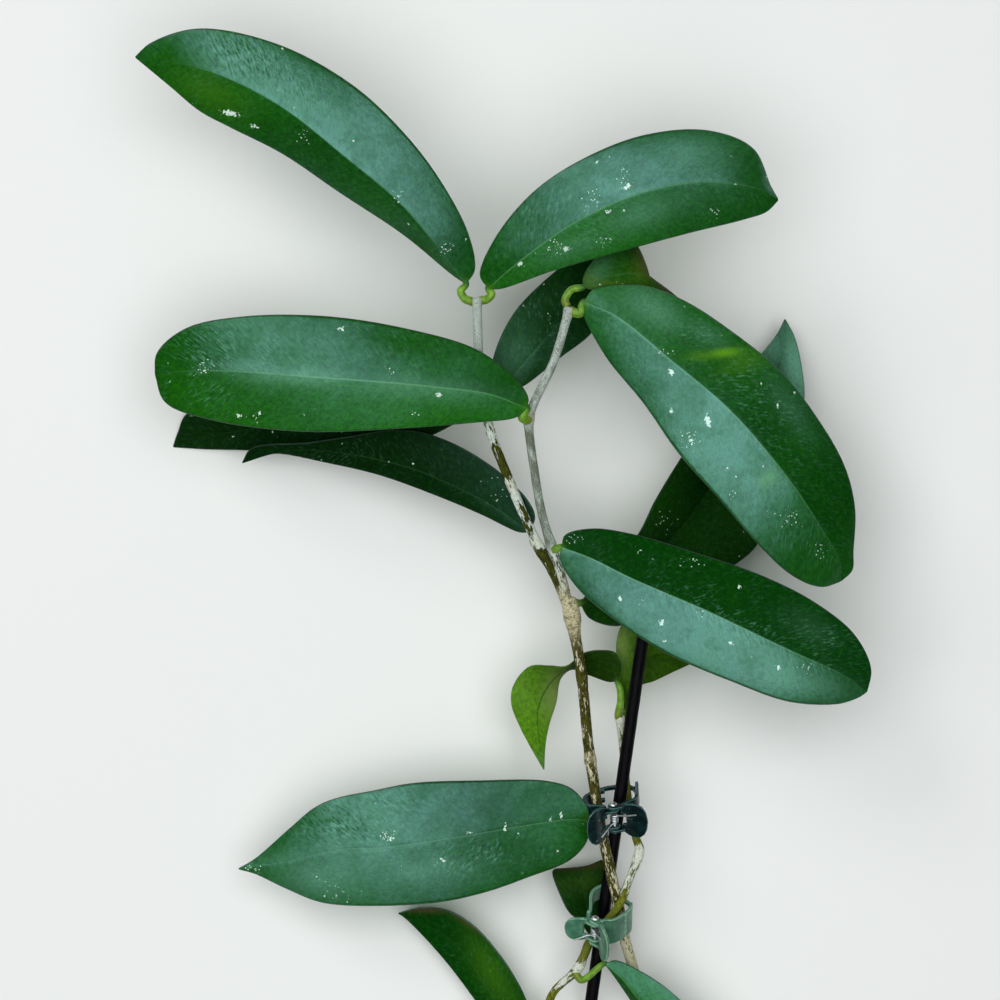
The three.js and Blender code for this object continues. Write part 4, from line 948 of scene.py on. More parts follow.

# %% [markdown]
# Every leaf has its own rails, plotted in plan with a height for each place. Left and right are as seen
# from the leaf's base with its upper face towards the eye. Most leaves show their upper face; a few hang
# behind the stems in shade and get darker greens as painted shade, and three are young, thinner and lighter.

# %% Plotted leaves
LEAVES = {
    "leaf_top_left": {
        "base": [-12.2, 77.8, 47],
        "rib": [[-23, 91.8, 55], [-35.6, 106.6, 60], [-54, 122.4, 64], [-79.9, 142.6, 63],
            [-105.5, 154.8, 57]],
        "tip": [-131.4, 159.5, 49],
        "left": [[-17.3, 81.3, 47], [-34.2, 95.2, 49.5], [-58, 111, 53], [-78.1, 124.6, 53],
            [-97.2, 134.3, 52], [-108.2, 140.2, 51], [-118.4, 148.7, 50.5]],
        "right": [[-9.2, 82.8, 47], [-11.5, 95.8, 52], [-21.6, 115, 57], [-34.7, 132.1, 60],
            [-53.3, 149.4, 61], [-79.9, 163.9, 59.5], [-108.4, 169.6, 55.5], [-125.6, 164.5, 51]],
        "stalk": [[-14.1, 75.4, 46.5], [-12.8, 72.6, 46], [-10.6, 71.6, 45.5], [-8.3, 70.9, 45]],
        "stalk_radius": 1.4,
    },
    "leaf_top_right": {
        "base": [-4.3, 76.3, 47],
        "rib": [[9, 87.5, 56], [27.7, 100.4, 62], [51.8, 110.9, 65], [73.8, 114.5, 62],
            [91.8, 112.3, 57]],
        "tip": [100.2, 108, 51],
        "left": [[-7.1, 80.7, 48], [-1.8, 94, 54], [11.3, 110.1, 59], [28, 121.7, 62], [51.6, 131.2, 62],
            [75.2, 132.9, 58], [91.2, 126.4, 54], [97.4, 113, 51.5]],
        "right": [[-0.4, 76, 48], [19.1, 82.6, 53], [47.9, 90.8, 56], [68.4, 96.3, 56.5], [87.5, 101, 54],
            [96, 103.9, 52.5]],
        "stalk": [[-3, 74.2, 47], [-4.9, 72.2, 46], [-6.8, 71.8, 45.5], [-8.3, 70.9, 45]],
        "stalk_radius": 1.4,
    },
    "leaf_behind_fork": {
        "dark": True,
        "base": [-2.4, 37, 39.5],
        "rib": [[4.7, 45, 36], [17.3, 59.4, 32], [28.8, 72, 27]],
        "tip": [41, 92.5, 18],
        "left": [[-3.2, 46.1, 38], [-0.4, 56.9, 37], [5.8, 68.2, 35], [14.4, 77.3, 31], [25.2, 86.2, 26],
            [35.3, 91.4, 21]],
        "right": [[0.7, 37.4, 37.5], [8.3, 41, 35], [21.6, 51.3, 30], [33.1, 60.5, 25], [38.9, 72, 21],
            [41.8, 82.8, 18]],
        "stalk": [[-3.4, 36.2, 41.4], [-5.3, 36, 42.6]],
        "stalk_radius": 1.3,
    },
    "leaf_middle_left": {
        "base": [9.7, 33.1, 45.5],
        "rib": [[-4.3, 38.2, 52.5], [-23.4, 40.7, 57], [-42.8, 42.5, 59], [-62.3, 43.9, 58],
            [-81.4, 45.4, 55], [-95.8, 46.4, 51.5], [-111.6, 46.4, 46]],
        "tip": [-124.2, 45.4, 37],
        "left": [[5.8, 29.9, 47], [-9, 28, 50], [-38.2, 25.7, 54], [-71.6, 24.8, 51], [-104.2, 29, 44],
            [-120.6, 35.4, 38.5]],
        "right": [[10.1, 36.7, 46.5], [5.4, 43.8, 49], [-8.8, 54.2, 53], [-33, 61.4, 56], [-62.3, 66, 56],
            [-92.9, 65.9, 51], [-113, 61.7, 45], [-123.4, 52.9, 38.5]],
        "stalk": [[7.9, 29.9, 45], [9.7, 28.8, 43.5], [10.4, 29.5, 42.3]],
        "stalk_radius": 1.5,
    },
    "leaf_right_front": {
        "base": [30.2, 71.3, 48],
        "rib": [[42.1, 65.9, 54], [61.2, 50.4, 61], [83.5, 31.3, 65], [104.4, 6.5, 61], [117, -12.6, 53],
            [122, -21.6, 47]],
        "tip": [122.6, -29.3, 41],
        "left": [[33.8, 75.8, 48], [50.6, 77.2, 50.5], [65.9, 71.9, 53], [83.7, 60.4, 54.5],
            [101, 46.2, 54.5], [115, 28.2, 52.5], [124.2, 11.6, 49.5], [127.7, -3.2, 46.5],
            [127.1, -18.4, 43.5], [126.7, -25.2, 41.5]],
        "right": [[29.9, 67.7, 48], [38.3, 51.5, 52.5], [51.6, 35.1, 57], [64.2, 17.1, 60.5],
            [78.6, 0.8, 61.5], [92.3, -15.1, 58.5], [105, -26.9, 52], [115.6, -31.2, 45]],
        "stalk": [[28.8, 67.3, 47.5], [26.3, 67.7, 46.5], [24.8, 68.8, 46]],
        "stalk_radius": 1.5,
    },
    "leaf_arched_back": {
        "dark": True,
        "base": [29.9, 76.7, 46],
        "rib": [[36, 79.9, 48.4], [45, 81.4, 49.6], [51.1, 81.4, 47], [53.4, 80.6, 42], [52.7, 79.6, 33],
            [50.4, 78.1, 22]],
        "tip": [46.8, 76.7, 10],
        "left": [[30.2, 80.6, 46.5], [34.6, 87.1, 45.5], [41.8, 92.5, 45], [48.5, 92, 42.5],
            [49.9, 89.3, 35], [49.2, 85.7, 25], [47.9, 80.6, 15]],
        "right": [[33.1, 75.6, 45.6], [43.9, 72, 44.4], [56.8, 71.4, 43.6], [64.8, 71.6, 38],
            [63.2, 72, 28], [54, 73.4, 16]],
        "stalk": [[25.6, 75.6, 45.5], [23.4, 71.6, 45], [24.6, 69.6, 45.5]],
        "stalk_radius": 1.3,
    },
    "leaf_right_back": {
        "dark": True,
        "base": [28.8, -37.1, 31],
        "rib": [[46.8, -27, 21], [64.8, -10.1, 10.5], [77.4, 7.2, 3.2], [88.2, 24.5, 0.4],
            [99.7, 47.2, 1.8], [102.6, 57.6, 5]],
        "tip": [102.6, 65.2, 9],
        "left": [[36, -28.1, 31], [49.6, -12.6, 27], [56, 0, 22], [66.4, 16.9, 15], [80.4, 36.7, 10],
            [94, 52.3, 9], [99.9, 59.8, 9.5]],
        "right": [[32.2, -42.4, 28.5], [42.5, -45.2, 25], [61.2, -36.7, 17], [84.2, -23.4, 11],
            [92.5, -16, 9], [104.2, 10.8, 8], [109.4, 36, 8], [108.9, 45.7, 8.5], [106.1, 58.3, 9]],
        "stalk": [[26.6, -36.9, 32.4], [24.8, -37.1, 33.8]],
        "stalk_radius": 1.6,
    },
    "leaf_middle_right": {
        "base": [22.3, -16.9, 42],
        "rib": [[33.1, -21.2, 47], [46.8, -28.1, 51.5], [74.9, -40.3, 56], [103.7, -54, 53],
            [124.2, -63.4, 46]],
        "tip": [132.1, -69.1, 41],
        "left": [[23.4, -12.8, 42.5], [33.1, -10.4, 43.5], [48.6, -12.6, 45.5], [69.8, -18.9, 48],
            [94, -27.2, 48], [113.4, -37, 46], [127.6, -48.6, 43.5], [133.5, -60.8, 41.5]],
        "right": [[21.6, -20.9, 42.5], [27.4, -31, 45], [41, -42.8, 49.5], [60.1, -55.1, 53.5],
            [84.2, -65.5, 54], [103.7, -72.4, 51], [121, -73.4, 46], [128.5, -71.3, 42.5]],
        "stalk": [[20.5, -17.6, 41.2], [19.3, -17.6, 39.6]],
        "stalk_radius": 1.4,
    },
    "leaf_left_shaded": {
        "dark": True,
        "base": [10.8, -11.5, 34],
        "rib": [[-4, -1.1, 33], [-20.2, 6.8, 31], [-31.7, 11.5, 29], [-57.6, 17.2, 23],
            [-77.4, 17.8, 18]],
        "tip": [-92.9, 13.3, 13],
        "left": [[7, -11.5, 33], [-6.1, -5.4, 31], [-20.5, 0.7, 28], [-43.2, 9, 23], [-62.3, 13.5, 19],
            [-80.5, 16.9, 15.5], [-88.2, 16, 14]],
        "right": [[12.5, -6, 35], [10.1, -0.4, 36], [1.8, 8.3, 36], [-9.1, 16.1, 35], [-18.5, 21, 34],
            [-28.8, 24.4, 32.5], [-40, 25, 30], [-53.3, 23, 26.5], [-68.8, 20.7, 22],
            [-89.3, 18.6, 15.5]],
        "stalk": [[12.2, -15.5, 35], [13.7, -16.6, 37.3]],
        "stalk_radius": 1.3,
    },
    "leaf_left_low": {
        "dark": True,
        "base": [-7.9, 36, 38],
        "rib": [[-25.2, 33.1, 30], [-46.8, 29.5, 20], [-72, 27.4, 10], [-97.2, 24.5, 3.5]],
        "tip": [-117.7, 19.1, 0.1],
        "left": [[-12.2, 30.6, 36.5], [-28.8, 21.6, 25], [-50.4, 16.2, 14], [-72, 16.9, 7],
            [-90.4, 18, 3.2], [-106.2, 18.4, 1]],
        "right": [[-13.7, 41.4, 37], [-28.8, 43.2, 32], [-54, 41.4, 22], [-79.2, 38.9, 13],
            [-99, 35.3, 7], [-112.7, 31, 3.3], [-116, 24, 1.3]],
        "stalk": [[-7.6, 35.6, 40.6], [-5.3, 35.6, 42.6]],
        "stalk_radius": 1.3,
    },
    "young_leaf_twisted": {
        "young": True,
        "base": [42.1, -65.2, 24],
        "rib": [[38.2, -59.8, 25], [31.7, -58, 25], [24.5, -60.1, 25], [18, -65.9, 26], [13.7, -74.9, 25],
            [14, -86.4, 21]],
        "tip": [15.8, -97.2, 16],
        "left": [[39.2, -65.4, 22.5], [32.4, -63.1, 21.5], [25.9, -60.9, 20.5], [21.8, -64.2, 22.5],
            [20.2, -72.7, 23.5], [17.6, -81, 21.5], [16.2, -88.9, 18.5]],
        "right": [[43.6, -60.5, 26], [41.4, -55, 27], [36.7, -54.1, 27.5], [30.4, -55, 27.3],
            [23.8, -59.9, 28.5], [18.2, -59.7, 29], [10.7, -60, 28.5], [4.9, -66.9, 27], [4.2, -73.4, 26],
            [7.2, -81.6, 23], [12.2, -91, 19]],
        "stalk": [[43.2, -68.2, 24.3], [43.4, -72.4, 23.8], [42.6, -77.2, 22.5], [42.7, -79, 21.6]],
        "stalk_radius": 1.25,
    },
    "young_leaf_shaded": {
        "young": True,
        "base": [45, -75.6, 19.5],
        "rib": [[46.8, -66.6, 20.5], [50.4, -58.7, 21], [58.3, -55.4, 20.5]],
        "tip": [68.4, -59, 17],
        "left": [[43.6, -72, 19.2], [42.5, -61.9, 20], [42.1, -50.4, 21.5], [45, -43.9, 22.5],
            [52.2, -45, 22.5], [61.2, -52.2, 20]],
        "right": [[47.5, -70.6, 19], [50.8, -66.6, 19.2], [55.1, -65.2, 19], [61.2, -62.3, 18]],
        "stalk": [[44.6, -77.5, 20], [43.3, -79.2, 21.2]],
        "stalk_radius": 1,
    },
    "leaf_lower_left": {
        "base": [32.2, -115.6, 28.3],
        "rib": [[26.6, -114.9, 29], [5.8, -117.7, 31], [-12.6, -121, 33], [-43.9, -125.3, 32],
            [-58.7, -126, 30], [-77.4, -130.3, 24]],
        "tip": [-94.3, -132.8, 18],
        "left": [[32.1, -118.8, 26.5], [30.8, -123.6, 26.2], [25, -129.6, 26.5], [9.8, -135.8, 27.5],
            [-4, -140.7, 28], [-20.6, -144.5, 28], [-43.9, -146, 27], [-64.1, -144.8, 24],
            [-77, -139.8, 21.5], [-88.2, -134.5, 19]],
        "right": [[32, -112.4, 29.4], [30, -108.4, 29.8], [25.4, -103.8, 29.6], [16.4, -101.2, 30.5],
            [-7.2, -101.1, 32], [-31, -102, 32], [-46, -104.8, 30.5], [-58.7, -107.4, 28.5],
            [-66.4, -110.6, 27], [-75.6, -118.2, 24], [-88.2, -129.2, 19.5]],
        "stalk": [[34.4, -117.4, 26.4], [36.4, -119, 24.2]],
        "stalk_radius": 1.3,
    },
    "young_leaf_curled": {
        "dark": True,
        "base": [33.1, -157.7, 11],
        "rib": [[31.7, -149.4, 10], [29.9, -140.4, 10.2], [28.4, -134.2, 9], [28.1, -132.5, 6.2]],
        "tip": [28.1, -135.4, 2.5],
        "left": [[28.1, -151.2, 11.5], [25, -148.5, 12], [21.4, -141.5, 12.5], [18.9, -134.3, 12],
            [20.2, -132.8, 8], [23.8, -133.9, 4]],
        "right": [[36.4, -151.9, 9.4], [38.2, -142.2, 9.2], [38.2, -133.2, 9.2], [37.1, -129.7, 8],
            [34.6, -131, 6], [31.7, -133.9, 3.5]],
        "stalk": [[31, -163.1, 14], [28.8, -167.8, 15.8]],
        "stalk_radius": 1.2,
    },
    "leaf_foot_left": {
        "base": [10.4, -207, 6.5],
        "rib": [[1.8, -187.2, 10.5], [-7.2, -171, 11.5], [-18, -157.7, 10.5]],
        "tip": [-36.7, -148.7, 8],
        "left": [[6.5, -204.5, 6], [0.4, -194.6, 6.5], [-9, -179.9, 8], [-22.3, -162.7, 8],
            [-35.3, -149.4, 7.5]],
        "right": [[12.3, -194.4, 9], [9.9, -181.6, 12], [5.6, -172.4, 14], [-1.4, -162, 15],
            [-9.7, -153, 15], [-19.1, -147.6, 13], [-29.2, -146.9, 10]],
        "stalk": [[12.5, -209.5, 6], [14.4, -210.6, 5.6]],
        "stalk_radius": 1.2,
    },
    "leaf_foot_right": {
        "base": [37.8, -167, 20],
        "rib": [[43.9, -172.1, 21], [50.4, -180, 21.5], [61.9, -192.6, 21.5], [75.6, -204.5, 19.5]],
        "tip": [88.6, -214.6, 14],
        "left": [[41.4, -165.8, 20.5], [48.8, -168.8, 22], [58.4, -174.7, 23.5], [68.4, -183.6, 24],
            [79.2, -196.2, 22], [85.7, -207, 19]],
        "right": [[40.3, -170.3, 19.5], [46.8, -179.6, 15.5], [56.9, -195.5, 12.5], [72, -208.8, 12],
            [81, -213.5, 12.5]],
        "stalk": [[34.9, -168.8, 19.5], [32, -171.4, 18.5], [29.2, -172.8, 17.5], [27, -170, 16.2]],
        "stalk_radius": 1.2,
    },
}

faces_made = [grow_leaf(name, leaf, 1 + index) for index, (name, leaf) in enumerate(LEAVES.items())]
print(len(faces_made), "leaves with", sum(faces_made), "faces")

# %% [markdown]
# ## Bark
#
# The upper shoots are grey and smooth with fine brown specks. Lower down the skin has cracked: thin
# silvery scraps cling to an olive core, and at the fork a crust of old nodules has grown. How old, how
# flaky and how crusty the bark is at each point is worked out with the mesh, which raises the surface
# there a little, and is handed to the finish as attributes. The finish breaks the scraps' edges up.

# %% Bark finishes
CRACK = from_screen(34, 28, 14)
THREAD = from_screen(62, 52, 30)
CRUST, CRUST_PIT = from_screen(206, 198, 160), from_screen(88, 80, 52)


def bark_patterns(skin):
    """Noise round and along a stem: fibres and flakes are drawn out lengthwise."""
    flat = skin.read("flat", "Vector")
    return SimpleNamespace(
        fibres=skin.clouds(skin.stretch(flat, (1.3, 0.3, 1.0)), 1.7, 4.0, 0.65),
        flakes=skin.clouds(skin.stretch(flat, (1.9, 0.4, 1.0)), 1.1, 2.0, 0.55),
        dots=skin.clouds(flat, 3.4, 3.0, 0.7),
        lumps=skin.clouds(flat, 1.5, 4.0, 0.7),
    )


def old_bark(skin, seen, scraps, core, scrap):
    """A fibrous core, dark cracks round the scraps, and the pale scraps themselves."""
    dark, light = (tuple(share * c for c in core) for share in (0.45, 1.6))
    old = skin.tint(seen.fibres.between(0.35, 0.62), dark, light)
    old = skin.tint(scraps.between(0.4, 0.48) * 0.7, old, CRACK)
    pale = skin.tint(seen.dots.between(0.4, 0.62), tuple(0.6 * c for c in scrap), scrap)
    pale = skin.tint(seen.fibres.between(0.43, 0.36) * 0.75, pale, THREAD)
    return skin.tint(scraps.between(0.51, 0.55), old, pale)


def young_bark(skin, seen, peel, young, speck):
    wear_and_highlight = peel - 0.5 + seen.fibres
    fresh = skin.tint(wear_and_highlight.between(0.3, 0.95) * 0.8, young, speck)
    return skin.tint(seen.dots.between(0.49, 0.6) * 0.85, fresh, speck)


def bark_skin(name, core, scrap, young, speck):
    skin = Finish(name)
    seen = bark_patterns(skin)
    peel, crusty = skin.read("peel"), skin.read("crust")
    scraps = peel + (seen.flakes - 0.5) * 1.7
    fresh = young_bark(skin, seen, peel, young, speck)
    colour = skin.tint(skin.read("age"), fresh, old_bark(skin, seen, scraps, core, scrap))
    crust = skin.tint(seen.lumps.between(0.45, 0.66), CRUST, CRUST_PIT)
    colour = skin.tint(crusty, colour, crust)
    height = seen.fibres * 0.4 + seen.dots * 0.3 + scraps.between(0.48, 0.56) * 0.5
    bump = skin.bump(height - seen.lumps * crusty * 1.6, 0.2)
    return skin.end(Base_Color=colour, Roughness=0.7, Normal=bump, IOR=1.4, Specular_IOR_Level=0.12)


SHOOT_BARK = bark_skin(
    "shoot_bark", from_screen(56, 60, 12), from_screen(226, 236, 224),
    from_screen(186, 198, 190), from_screen(78, 82, 58),
)
TRUNK_BARK = bark_skin(
    "trunk_bark", from_screen(62, 62, 17), from_screen(220, 213, 178),
    from_screen(172, 178, 170), from_screen(92, 82, 62),
)
SECOND_BARK = bark_skin(
    "second_bark", from_screen(98, 104, 28), from_screen(234, 238, 222),
    from_screen(108, 116, 40), from_screen(78, 80, 28),
)
print("bark finishes:", [m.name for m in (SHOOT_BARK, TRUNK_BARK, SECOND_BARK)])

# %% [markdown]
# ## Stems
#
# Each stem has a line of plotted places. A shoot's places run from its tip down to the fork, and those of
# the trunk and of the second stem run down to the cut end. The shoots' last places lie inside the trunk,
# so that the three grow out of one another.

# %% Stem lines
LEFT_SHOOT = [
    [-8.3, 73, 46], [-8, 61, 45], [-7.7, 53.3, 44.2], [-4.6, 28.8, 42.2], [2.6, 8.8, 40.5],
    [12.8, -14.6, 38], [20, -28, 36], [25.2, -40, 33.5],
]
RIGHT_SHOOT = [
    [25.2, 69.5, 46.5], [19.3, 49.9, 45], [12.1, 34.6, 43], [10.4, 29.5, 42], [12.9, 7.2, 41.5],
    [14.8, -3.6, 40.6], [17.6, -13.7, 39.5], [22, -27, 37], [25.4, -41, 33.5],
]
TRUNK = [
    [24.7, -35, 34.6], [25.9, -41.4, 33.5], [26.8, -47.5, 32.6], [29.2, -61.6, 31], [31.9, -88.9, 27.5],
    [34.4, -106, 25.2], [37, -121, 24], [39.7, -133, 23.4], [42, -144, 21], [45.2, -159.1, 15.5],
    [47.7, -168, 12.8], [50.4, -180, 10.2], [54.7, -201.6, 6.4], [58.3, -231.1, 2.3],
]
SECOND_STEM = [
    [43.2, -77.6, 21.8], [44.2, -88.2, 21], [44.9, -97.2, 19.8], [45.7, -104.4, 19.2],
    [46.8, -113.4, 19.3], [49, -121.7, 20.7], [50.2, -126, 22], [46.3, -137.2, 24],
    [43.2, -145.4, 24.8], [37.6, -152.5, 22], [32.4, -158.4, 19], [28.1, -168.5, 16],
    [18.7, -178.2, 12.6], [15.5, -194.4, 9], [14.4, -210.6, 5.6], [16.9, -232.6, 1.9],
]


for label, line in (("left shoot", LEFT_SHOOT), ("right shoot", RIGHT_SHOOT), ("trunk", TRUNK)):
    print(label, "is", round(run_length(rail(line))[-1]), "mm long")

# %% [markdown]
# How the bark changes along a stem is given at shares of its length: how old it is, how much of
# it peels into scraps, and where the old joints have grown a crust.

# %% Bark along each stem
def ramp(*stops):
    """Reads a value at a share from stops of (share, value)."""
    places, values = zip(*stops)
    return lambda share: float(np.interp(share, places, values))


LEFT_ZONES = {
    "age": ramp((0.34, 0), (0.38, 1)),
    "peel": ramp((0, 0.25), (0.34, 0.4), (0.38, 0.5), (0.42, 0.7), (0.49, 0.15), (0.54, 0.12),
                 (0.57, 0.7), (0.62, 0.75), (0.68, 0.45), (0.73, 0.45), (0.76, 0.9), (0.8, 0.15),
                 (0.91, 0.12), (0.93, 0.6)),
    "crust": ramp((0.55, 0), (0.57, 0.35), (0.62, 0), (0.74, 0), (0.765, 0.4), (0.79, 0), (0.91, 0),
                  (0.95, 1)),
}
RIGHT_ZONES = {
    "age": ramp((0.76, 0), (0.8, 0.9), (1, 1)),
    "peel": ramp((0, 0.3), (0.36, 0.5), (0.42, 0.8), (0.7, 0.7), (0.79, 0.6), (1, 0.55)),
    "crust": ramp((0.33, 0), (0.36, 0.4), (0.4, 0), (0.85, 0), (0.95, 0.9)),
}
TRUNK_ZONES = {
    "age": ramp((0, 1)),
    "peel": ramp((0, 0.8), (0.08, 0.36), (0.27, 0.33), (0.285, 0.56), (0.31, 0.42), (0.35, 0.4),
                 (0.45, 0.42), (0.56, 0.46), (0.62, 0.75), (0.68, 0.8), (0.75, 0.5)),
    "crust": ramp((0.05, 1), (0.08, 0.1), (0.11, 0), (0.27, 0), (0.285, 0.4), (0.3, 0)),
}
SECOND_ZONES = {
    "age": ramp((0, 0.9), (0.06, 0.6), (0.2, 0.3), (0.27, 1), (0.4, 1), (0.43, 0.2), (0.55, 0.2), (0.57, 1)),
    "peel": ramp((0, 0.8), (0.08, 0.6), (0.12, 0.3), (0.274, 0.2), (0.288, 1), (0.3, 0.95), (0.33, 0.62),
                 (0.38, 0.5), (0.4, 0.1), (0.55, 0.12), (0.575, 0.95), (0.6, 0.5), (0.62, 0.75),
                 (0.66, 0.2)),
    "crust": ramp((0, 0)),
}
print("the trunk's crust at its top and half way down:", TRUNK_ZONES["crust"](0), TRUNK_ZONES["crust"](0.5))

# %% [markdown]
# A stem's radius follows the joints where leaves grew, old crusty knobs included, and the scraps of bark.
# Its tip is rounded off. Each knob has its share of the length, its extra radius and its spread.

# %% Stems as rings
STEM_SIDES, STEM_STEP = 40, 0.5
FLAKE_SIZE, LUMP_SIZE, NODULE_SIZE = 1.6, 2.4, 1.1
FLAKINESS = 0.45
SUNK, SCRAP_RISE, NODULE_RISE = 0.04, 0.08, 0.5
TIP_ROUND = 0.5


def limb(places, radius, knobs, zones, seed):
    """One stem: its points, its faces, and its marks for the bark."""
    line = rail(places)
    length = run_length(line)[-1]
    kept = {"peel": [], "age": [], "crust": []}

    def radius_at(share, turns):
        height = np.full(len(turns), share * length)
        where = np.stack([radius * np.cos(turns), radius * np.sin(turns), height], axis=1)
        peel = zones["peel"](share) + FLAKINESS * soft_noise(where * [1, 1, 0.3], FLAKE_SIZE, seed)
        here = {"peel": np.clip(peel, 0, 1), "age": zones["age"](share), "crust": zones["crust"](share)}
        for label, values in here.items():
            kept[label].append(np.full(len(turns), values))
        lumps = soft_noise(where, LUMP_SIZE, seed + 7)
        nodules = np.abs(soft_noise(where, NODULE_SIZE, seed + 9))
        swell = sum(extra * math.exp(-(((share - place) / spread) ** 2)) for place, extra, spread in knobs)
        raised = SCRAP_RISE * here["age"] * np.clip((here["peel"] - 0.45) / 0.12, 0, 1)
        raised -= TIP_ROUND * radius * math.exp(-share * length / TIP_ROUND)
        bumpy = lumps * (0.05 + 0.06 * here["age"])
        crusty = NODULE_RISE * here["crust"] * nodules
        return radius + swell + raised - SUNK + bumpy + crusty

    points, faces, shares, turns = tube(line, radius_at, STEM_SIDES, STEM_STEP)
    marks = {label: np.concatenate(values) for label, values in kept.items()}
    marks["flat"] = np.stack([turns * radius, shares * length, np.full(len(turns), seed * 23.0)], axis=1)
    return points, faces, marks


def grow_vine():
    left = limb(LEFT_SHOOT, 1.7, [(0, 0.5, 0.02), (0.33, 0.5, 0.03), (0.79, 0.5, 0.03)], LEFT_ZONES, 11)
    right = limb(RIGHT_SHOOT, 1.6, [(0, 0.6, 0.03), (0.37, 0.5, 0.03), (0.77, 0.45, 0.03)], RIGHT_ZONES, 17)
    knobs = [(0.03, 1.1, 0.03), (0.14, 0.25, 0.012), (0.29, 0.35, 0.012), (0.56, 0.25, 0.012)]
    trunk = limb(TRUNK, 1.95, knobs, TRUNK_ZONES, 23)
    points, faces, marks, (left_faces, right_faces, trunk_faces) = join([left, right, trunk])
    skins = [(SHOOT_BARK, [*left_faces, *right_faces]), (TRUNK_BARK, trunk_faces)]
    piece = make_piece("vine_bark_and_wood", points, faces, marks, skins)
    seat(piece, "plant", "vine_main")
    print("vine:", len(faces), "faces")


def grow_second_stem():
    knobs = [(0, 0.5, 0.02), (0.3, 0.4, 0.02), (0.58, 0.5, 0.02), (0.84, 0.4, 0.02)]
    points, faces, marks = limb(SECOND_STEM, 1.5, knobs, SECOND_ZONES, 31)
    piece = make_piece("second_stem_bark", points, faces, marks, [(SECOND_BARK, [])])
    seat(piece, "plant", "second_stem")
    print("second stem:", len(faces), "faces")


grow_vine()
grow_second_stem()

# %% [markdown]
# ## The stake
#
# A straight near-black rod. It is smooth but not new: fine lengthwise scratches and a little pale dust
# keep its highlight from being a clean line.

# %% Stake
STAKE = [[55.1, -23.4, 36], [25.2, -234, 2.05]]
STAKE_RADIUS = 2.3
STAKE_SIDES, STAKE_RINGS = 48, 160
END_ROUND, END_REACH = 0.35, 0.25
END_RINGS = np.array([0, 0.15, 0.4, 0.9])
RIPPLE = 0.02


def stake_skin():
    skin = Finish("stake_black")
    flat = skin.read("flat", "Vector")
    streaks = skin.clouds(skin.stretch(flat, (2.2, 0.12, 1.0)), 1.6, 4.0, 0.6)
    dust = skin.clouds(flat, 1.7, 4.0, 0.75)
    colour = skin.tint(streaks.between(0.4, 0.7), from_screen(3, 3, 5), from_screen(12, 10, 14))
    colour = skin.tint(dust.between(0.66, 0.7) * 0.45, colour, from_screen(120, 120, 128))
    bump = skin.bump(streaks, 0.12, 0.6)
    return skin.end(
        Base_Color=colour, Roughness=0.3 + 0.25 * streaks, Normal=bump, IOR=1.5, Specular_IOR_Level=0.06,
    )


def make_stake():
    line = np.array([at(place) for place in STAKE])
    length = run_length(line)[-1]

    def radius_at(share, turns):
        distance = min(share, 1 - share) * length
        round_off = END_ROUND * math.exp(-distance / END_REACH)
        ripple = RIPPLE * np.sin(5 * turns + 0.6 * share * length)
        return STAKE_RADIUS - round_off + ripple

    middle = np.linspace(1.5, length - 1.5, STAKE_RINGS)
    shares = np.concatenate([END_RINGS, middle, (length - END_RINGS)[::-1]]) / length
    points, faces, shares, turns = tube(line, radius_at, STAKE_SIDES, 1, shares)
    flat = np.stack([turns * STAKE_RADIUS, shares * length, np.zeros(len(turns))], axis=1)
    piece = make_piece("stake_rod", points, faces, {"flat": flat}, [(stake_skin(), [])])
    seat(piece, "plant", "stake")
    print("stake:", round(length, 1), "mm long")


make_stake()

# %% [markdown]
# ## The two clips
#
# Each clip is a pair of moulded jaws on a steel pin, closed by a coil spring. The plastic is a little
# cloudy and dusty, and its raised edges are painted paler as a highlight. Those edges come from the mesh
# itself: its pointiness is high where the surface turns sharply outwards.

# %% Plastic finishes
PALE_DUST = from_screen(170, 180, 176)


def plastic_skin(name, dark, light, rim, roughness, gloss):
    skin = Finish(name)
    place = skin.node("ShaderNodeTexCoord", {}, {}, "Object")
    clouds = skin.clouds(place, 220.0, 3.0)
    grain = skin.clouds(place, 2600.0, 2.0)
    dust = skin.clouds(place, 900.0, 4.0, 0.75)
    wear_and_highlight = skin.node("ShaderNodeNewGeometry", {}, {}, "Pointiness")
    colour = skin.tint(clouds.between(0.35, 0.7), dark, light)
    # Painted highlight along the sharp outward edges of the mesh, where its pointiness is high.
    colour = skin.tint(wear_and_highlight.between(0.505, 0.55) * 0.8, colour, rim)
    colour = skin.tint(dust.between(0.62, 0.72) * 0.25, colour, PALE_DUST)
    bump = skin.bump(grain * 0.5 + clouds * 0.5, 0.06, 0.5)
    return skin.end(
        Base_Color=colour, Roughness=roughness + 0.12 * clouds, Normal=bump, IOR=1.5,
        Specular_IOR_Level=gloss,
    )


TEAL = plastic_skin(
    "clip_teal", from_screen(4, 22, 24), from_screen(12, 42, 42), from_screen(70, 112, 110),
    roughness=0.2, gloss=0.3,
)
SAGE = plastic_skin(
    "clip_sage", from_screen(56, 104, 80), from_screen(84, 134, 106), from_screen(140, 184, 156),
    roughness=0.28, gloss=0.35,
)
print("plastics:", TEAL.name, "and", SAGE.name)

# %% [markdown]
# The solids already have the right form, but sharp edges don't look like plastic: real ones are rounded
# by the mould. A voxel remesh of a copy turns the faceted solid into an even fine mesh, and smoothing
# that mesh rounds every edge by a few tenths of a millimetre while the walls stay where they are.

# %% Moulded jaws
VOXEL = 0.27
SOFTENED = 3


